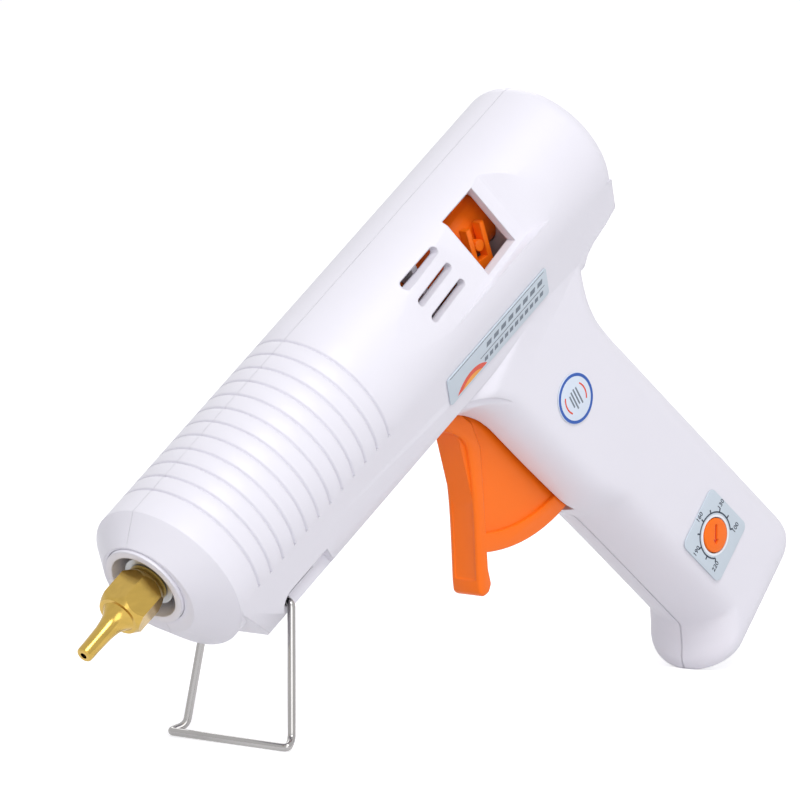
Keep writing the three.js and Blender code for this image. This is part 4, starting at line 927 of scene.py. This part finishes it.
def along_fork(out, side):
    """A point out from the pivot along the fork's leaning line, and to its side."""
    return (PIVOT_X - out * math.sin(HALF_TRAVEL) + side * math.cos(HALF_TRAVEL),
            PIVOT_Z + out * math.cos(HALF_TRAVEL) + side * math.sin(HALF_TRAVEL))


def upright(start, end, half, low, high):
    """A bar along the fork's line."""
    corners = [(start, -half), (start, half), (end, half), (end, -half)]
    return prism_y([along_fork(*corner) for corner in corners], low, high)


def fork():
    """The stem, the bridge and the two arms that push the carriage's pin."""
    half = FORK_HALF_WIDTH
    bridge_out = FORK_BRIDGE_Z - PIVOT_Z
    outer = FORK_IN + FORK_THICK
    stem = upright(0, bridge_out + half / 2, half - 2 * FIT, -SECTOR_HALF, SECTOR_HALF)
    bridge = upright(bridge_out, bridge_out + half, half - FIT, -outer, outer)
    sides = ((FORK_IN, outer), (-outer, -FORK_IN))
    return [stem, bridge, *[upright(bridge_out + FIT, FORK_TOP, half, low, high) for low, high in sides]]


def trigger():
    hub = rod_y(PIVOT_X, PIVOT_Z, HUB_R, -HUB_R, HUB_R, MEDIUM)
    pin_half = PIN_R + FIT
    item = joined(*sector(), finger_bar(), hub, *fork())
    item = without(item, upright(FORK_PIN_OUT - 2 * pin_half, FORK_TOP + CUT_OVER, pin_half, -FAR, FAR),
                   rod_y(PIVOT_X, PIVOT_Z, AXLE_R + FIT, -FAR, FAR))
    dressed(item, "finger_trigger", "trigger_body", FINISHES["orange_plastic"], ["trigger"])


# Wire stand
def bent(corners):
    """A line from end to end with a round bend at each corner between."""
    points = [Vector(corner) for corner in corners]
    line = [points[0]]
    for before, corner, after in zip(points, points[1:], points[2:]):
        start = corner + (before - corner).normalized() * STAND_BEND * STAND_BEND_SHARE
        end = corner + (after - corner).normalized() * STAND_BEND * STAND_BEND_SHARE
        for i in range(BEND_STEPS + 1):
            t = i / BEND_STEPS
            line.append(start * (1 - t) ** 2 + corner * 2 * t * (1 - t) + end * t * t)
    return [*line, points[-1]]


def stand():
    (x, z), (foot_x, foot_z) = STAND_PIVOT, STAND_FOOT
    near = [
        (x, STAND_PIVOT_HALF - STAND_PIN, z), (x, STAND_PIVOT_HALF, z),
        (foot_x - STAND_KICK, STAND_FOOT_HALF - STAND_BEND, foot_z - STAND_KICK_DROP),
        (foot_x, STAND_FOOT_HALF, foot_z)]
    path = bent(near + [(a, -b, c) for a, b, c in reversed(near)])
    item = swept(path, STAND_WIRE_R, WIRE_SIDES)
    dressed(item, "bent_wire", "stand", FINISHES["chrome_wire"], ["wire_stand"])


# Labels and dial, in the axes of a label: a along its text, b up, n out of the surface
def label_axes(origin, a, b):
    a, b = Vector(a), Vector(b)
    return Matrix.Translation(origin) @ Matrix((a, b, a.cross(b))).transposed().to_4x4()


def slab(outline, low, high):
    return stacked([[(a, b, n) for a, b in outline] for n in (low, high)])


def rounded_outline(length, height, corner):
    a, b = length / 2 - corner, height / 2 - corner
    return [*arc(a, b, corner, 0, 90), *arc(-a, b, corner, 90, 180),
            *arc(-a, -b, corner, 180, 270), *arc(a, -b, corner, 270, 360)]


def annulus(inner, outer, low, high):
    hole = slab(circle(inner, MEDIUM), low - LABEL_OVER, high + LABEL_OVER)
    return without(slab(circle(outer, MEDIUM), low, high), hole)


def band(inner, outer, start, end):
    """The outline of a bent strip about zero."""
    return arc(0, 0, outer, start, end, SMALL) + arc(0, 0, inner, end, start, SMALL)


def bar(a, b, length, height, lean=0):
    """The outline of a bar about its middle, its top ahead of its foot by twice the lean."""
    half, rise = length / 2, height / 2
    return [(a - half - lean, b - rise), (a + half - lean, b - rise), (a + half + lean, b + rise),
            (a - half + lean, b + rise)]


def merged(name, meshes):
    """One mesh of several."""
    work = bmesh.new()
    for mesh in meshes:
        work.from_mesh(mesh)
    bmesh.ops.remove_doubles(work, verts=work.verts, dist=MERGE)
    whole = bpy.data.meshes.new(name)
    work.to_mesh(whole)
    work.free()
    return whole


def printed(name, outlines, axes, finish, raise_by=0):
    """Thin ink shapes on a label."""
    pieces = [slab(outline, LABEL - INK, LABEL + INK + raise_by) for outline in outlines]
    item = linked(name, merged(name, [piece.data for piece in pieces]))
    for piece in pieces:
        bpy.data.objects.remove(piece)
    dressed(item, name, "housing", finish, axes=axes)


def numbers(axes):
    """The dial's numbers, upright when the grip is upright."""
    meshes = []
    for i, text in enumerate(DIAL_NUMBERS):
        curve = bpy.data.curves.new("number", "FONT")
        curve.body = text
        curve.size = DIAL_NUMBER_SIZE
        curve.align_x = "CENTER"
        curve.align_y = "CENTER"
        curve.offset = INK
        curve.extrude = INK
        curve.resolution_u = 3
        item = linked("number", curve)
        mesh = evaluated(item)
        bpy.data.objects.remove(item)
        angle = math.radians(DIAL_FROM + 2 * i * DIAL_STEP)
        across, up = DIAL_NUMBER_R * math.cos(angle), DIAL_NUMBER_R * math.sin(angle)
        mesh.transform(Matrix.Translation((across, up, LABEL)))
        meshes.append(mesh)
    item = linked("dial_numbers", merged("dial_numbers", meshes))
    dressed(item, "dial_numbers", "housing", INK_DARK, axes=axes)


def dial_marks():
    """The outlines of the dial's arc and of its ticks."""
    end = DIAL_FROM + (DIAL_TICKS - 1) * DIAL_STEP
    marks = [band(DIAL_ARC_R - DIAL_LINE_HALF, DIAL_ARC_R + DIAL_LINE_HALF, DIAL_FROM, end)]
    for i in range(DIAL_TICKS):
        angle = math.radians(DIAL_FROM + i * DIAL_STEP)
        out = Vector((math.cos(angle), math.sin(angle)))
        side = Vector((-out.y, out.x)) * DIAL_LINE_HALF
        near, tip = out * DIAL_ARC_R, out * (DIAL_ARC_R + DIAL_TICK)
        marks.append([tuple(p) for p in (near - side, tip - side, tip + side, near + side)])
    return marks


def dial():
    x, z = grip(*PLATE_UV)
    back, up = (-math.cos(RAKE), 0, math.sin(RAKE)), (math.sin(RAKE), 0, math.cos(RAKE))
    axes = label_axes((x, GRIP_HALF + LABEL_GAP, z), back, up)
    plate = rounded(slab(rounded_outline(PLATE_SIDE, PLATE_SIDE, PLATE_CORNER), 0, LABEL), LABEL_ROUND)
    plate = without(plate, slab(circle(KNOB_R + FIT, MEDIUM), -LABEL_OVER, LABEL_OVER))
    dressed(plate, "dial_label", "housing", FINISHES["label_film"], ["dial_plate"], axes=axes)
    halo = annulus(KNOB_R + FIT, HALO_R, LABEL - INK, LABEL + INK)
    dressed(halo, "dial_halo", "housing", INK_WHITE, axes=axes)
    printed("dial_marks", dial_marks(), axes, INK_DARK)
    numbers(axes)
    knob(axes)


def knob(axes):
    """The orange knob, with a slot that ends in an arrow."""
    face = KNOB_FACE - LABEL_GAP
    orange = FINISHES["orange_plastic"]
    knob_body = rounded(slab(circle(KNOB_R, ROUND), -WALL, face), KNOB_ROUND)
    c, s = math.cos(KNOB_SLOT_TURN), math.sin(KNOB_SLOT_TURN)
    arrow = [(a * c - b * s, a * s + b * c) for a, b in KNOB_ARROW]
    item = without(knob_body, slab(arrow, face - KNOB_SLOT_DEPTH, face + LABEL_OVER))
    dressed(item, "dial_button", "dial", orange, ["dial_knob"], axes=axes)
    low, high = [face - depth for depth in SLOT_FLOOR_DEPTHS]
    floor = slab([(a * SLOT_FLOOR_SHARE, b * SLOT_FLOOR_SHARE) for a, b in arrow], low, high)
    dressed(floor, "dial_slot_floor", "dial", INK_RED, axes=axes)


def badge():
    x, z = grip(*BADGE_UV)
    axes = label_axes((x, GRIP_HALF + LABEL_GAP, z), (-1, 0, 0), (0, 0, 1))
    disc = rounded(slab(circle(BADGE_R, ROUND), 0, LABEL), LABEL_ROUND)
    dressed(disc, "badge_disc", "housing", FINISHES["badge_film"], ["rating_badge"], axes=axes)
    inner, outer = [BADGE_R - inside for inside in BADGE_RING]
    ring = annulus(inner, outer, LABEL - INK, LABEL + INK)
    dressed(ring, "badge_ring", "housing", INK_BLUE, axes=axes)
    arcs = [band(*BADGE_ARC, *ends) for ends in BADGE_ARC_ENDS]
    printed("badge_arcs", arcs, axes, INK_RED)
    lines = [bar(a, b, BADGE_LINE_WIDTH, height) for a, b, height in BADGE_LINES]
    printed("badge_lines", lines, axes, INK_GREY)


def nameplate():
    turn = Matrix.Rotation(-FLANK_LEAN, 4, "X")
    origin = turn @ Vector((NAME_X, BARREL_R + LABEL_GAP, -NAME_DROP))
    up = turn @ Vector((0, 0, 1))
    axes = label_axes(origin, (-1, 0, 0), up)
    plate = rounded(slab(rounded_outline(NAME_LENGTH, NAME_HEIGHT, NAME_CORNER), 0, LABEL), LABEL_ROUND)
    dressed(plate, "name_label", "housing", FINISHES["label_film"], ["nameplate"], axes=axes)
    printed("name_rules", [bar(*rule) for rule in NAME_RULES], axes, INK_DARK)
    bars = [
        bar(row["first"] + row["pitch"] * i, row["up"], row["length"], row["height"], row["lean"])
        for row in NAME_ROWS for i in range(row["count"])]
    printed("name_bars", bars, axes, INK_GREY)

    def sun(drop, radius, start, end):
        return [arc(-NAME_LENGTH / 2 + SUN_IN, -NAME_HEIGHT / 2 - drop, radius, start, end)]

    printed("name_sun", sun(*SUN_ARC), axes, INK_RED)
    printed("name_sun_core", sun(*SUN_CORE_ARC), axes, INK_AMBER, INK / 2)


# CAD nodes that stay as they are, by finish
KEPT = {
    "cast_aluminium": ["melt_chamber", "dial_shaft"],
    "ceramic": ["heater_cartridge", "temperature_sensor"],
    "steel": ["sensor_band", "sleeve_clamp", "jaw_pin", "trigger_axle", "return_spring"],
    "silicone": ["feed_sleeve"],
    "board_green": ["control_board"],
    "black_plastic": ["potentiometer", "power_device", "heater_lead_right"],
    "black_rubber": ["inlet_grommet"],
    "capacitor_red": ["capacitor"],
    "terminal_blue": ["terminal_block"],
    "lead_red": ["heater_lead_left"],
}
# CAD nodes whose shape is taken over and shaded smooth, as the screws' are: body and finish
SMOOTHED = {"feed_carriage": ("carriage", "orange_plastic"), "grip_jaw": ("jaw", "orange_plastic")}


def kept_nodes():
    """CAD nodes that stay as they are and take a finish."""
    for slot, names in KEPT.items():
        for name in names:
            node = frame["nodes"][name]
            if not node.material_slots:
                node.data.materials.append(None)
            for place in node.material_slots:
                place.material = FINISHES[slot]


def smoothed_nodes():
    """Pieces with the CAD's own shape, shaded smooth between their sharp edges."""
    screws = {name: ("housing", "steel") for name in frame["nodes"] if name.startswith("housing_screw")}
    for name, (body, slot) in {**SMOOTHED, **screws}.items():
        item = linked(name + "_smooth", frame["nodes"][name].data.copy())
        item.data.transform(PLACE.inverted())
        dressed(item, name + "_smooth", body, FINISHES[slot], [name], sharp=40)


# Floor, light and camera
def stage():
    """A round floor that glows only for seen rays, so that it looks white and keeps its shadow."""
    points = [(x, y, 0) for x, y in circle(FLOOR_R, ROUND)]
    floor_mesh = bpy.data.meshes.new("floor")
    floor_mesh.from_pydata(points, [], [tuple(range(ROUND))])
    floor = linked("floor", floor_mesh)
    made = bpy.data.materials.new("floor_white")
    made.use_nodes = True
    nodes, links = made.node_tree.nodes, made.node_tree.links
    shader = nodes["Principled BSDF"]
    shader.inputs["Base Color"].default_value = FLOOR_COLOUR
    shader.inputs["Roughness"].default_value = FLOOR_ROUGHNESS
    shader.inputs["Specular IOR Level"].default_value = 0
    shader.inputs["Emission Color"].default_value = WHITE
    level = nodes.new("ShaderNodeMath")
    level.operation = "MULTIPLY"
    level.inputs[1].default_value = FLOOR_GLOW
    links.new(seen_rays(nodes, links), level.inputs[0])
    links.new(level.outputs[0], shader.inputs["Emission Strength"])
    floor_mesh.materials.append(made)


def seen_rays(nodes, links):
    """1 for what the camera sees, straight, by reflection or through glass, and 0 for other rays."""
    path = nodes.new("ShaderNodeLightPath")
    total = path.outputs["Is Camera Ray"]
    for name in ("Is Glossy Ray", "Is Transmission Ray"):
        largest = nodes.new("ShaderNodeMath")
        largest.operation = "MAXIMUM"
        links.new(total, largest.inputs[0])
        links.new(path.outputs[name], largest.inputs[1])
        total = largest.outputs[0]
    return total


def surroundings():
    """A soft sky that lights the object, and plain white where it is seen."""
    world = bpy.data.worlds.new("studio")
    bpy.context.scene.world = world
    world.use_nodes = True
    nodes, links = world.node_tree.nodes, world.node_tree.links
    nodes.clear()
    light = nodes.new("ShaderNodeBackground")
    light.inputs["Color"].default_value = SKY_COLOUR
    light.inputs["Strength"].default_value = SKY_STRENGTH
    white = nodes.new("ShaderNodeBackground")
    white.inputs["Color"].default_value = WHITE
    white.inputs["Strength"].default_value = 1
    mix = nodes.new("ShaderNodeMixShader")
    links.new(seen_rays(nodes, links), mix.inputs["Fac"])
    links.new(light.outputs[0], mix.inputs[1])
    links.new(white.outputs[0], mix.inputs[2])
    output = nodes.new("ShaderNodeOutputWorld")
    links.new(mix.outputs[0], output.inputs["Surface"])


def lights():
    for name, place, size, power in LAMPS:
        light = bpy.data.lights.new(name, "AREA")
        light.shape = "DISK"
        light.size = size
        light.energy = power
        item = linked(name, light)
        item.location = place
        item.rotation_euler = (Vector(LAMP_TARGET) - Vector(place)).to_track_quat("-Z", "Y").to_euler()


def camera():
    data = bpy.data.cameras.new("camera")
    data.lens = CAMERA_LENS
    data.sensor_width = CAMERA_SENSOR
    data.clip_end = CAMERA_FAR
    item = linked("camera", data)
    right, up = Vector(CAMERA_RIGHT), Vector(CAMERA_UP)
    turn = Matrix((right, up, right.cross(up))).transposed().to_4x4()
    item.matrix_world = Matrix.Translation(CAMERA_PLACE) @ turn
    bpy.context.scene.camera = item


camera()
surroundings()
lights()
stage()
housing()
collar()
nozzle()
trigger()
stand()
nameplate()
badge()
dial()
kept_nodes()
smoothed_nodes()
bpy.context.scene.view_settings.view_transform = "Standard"
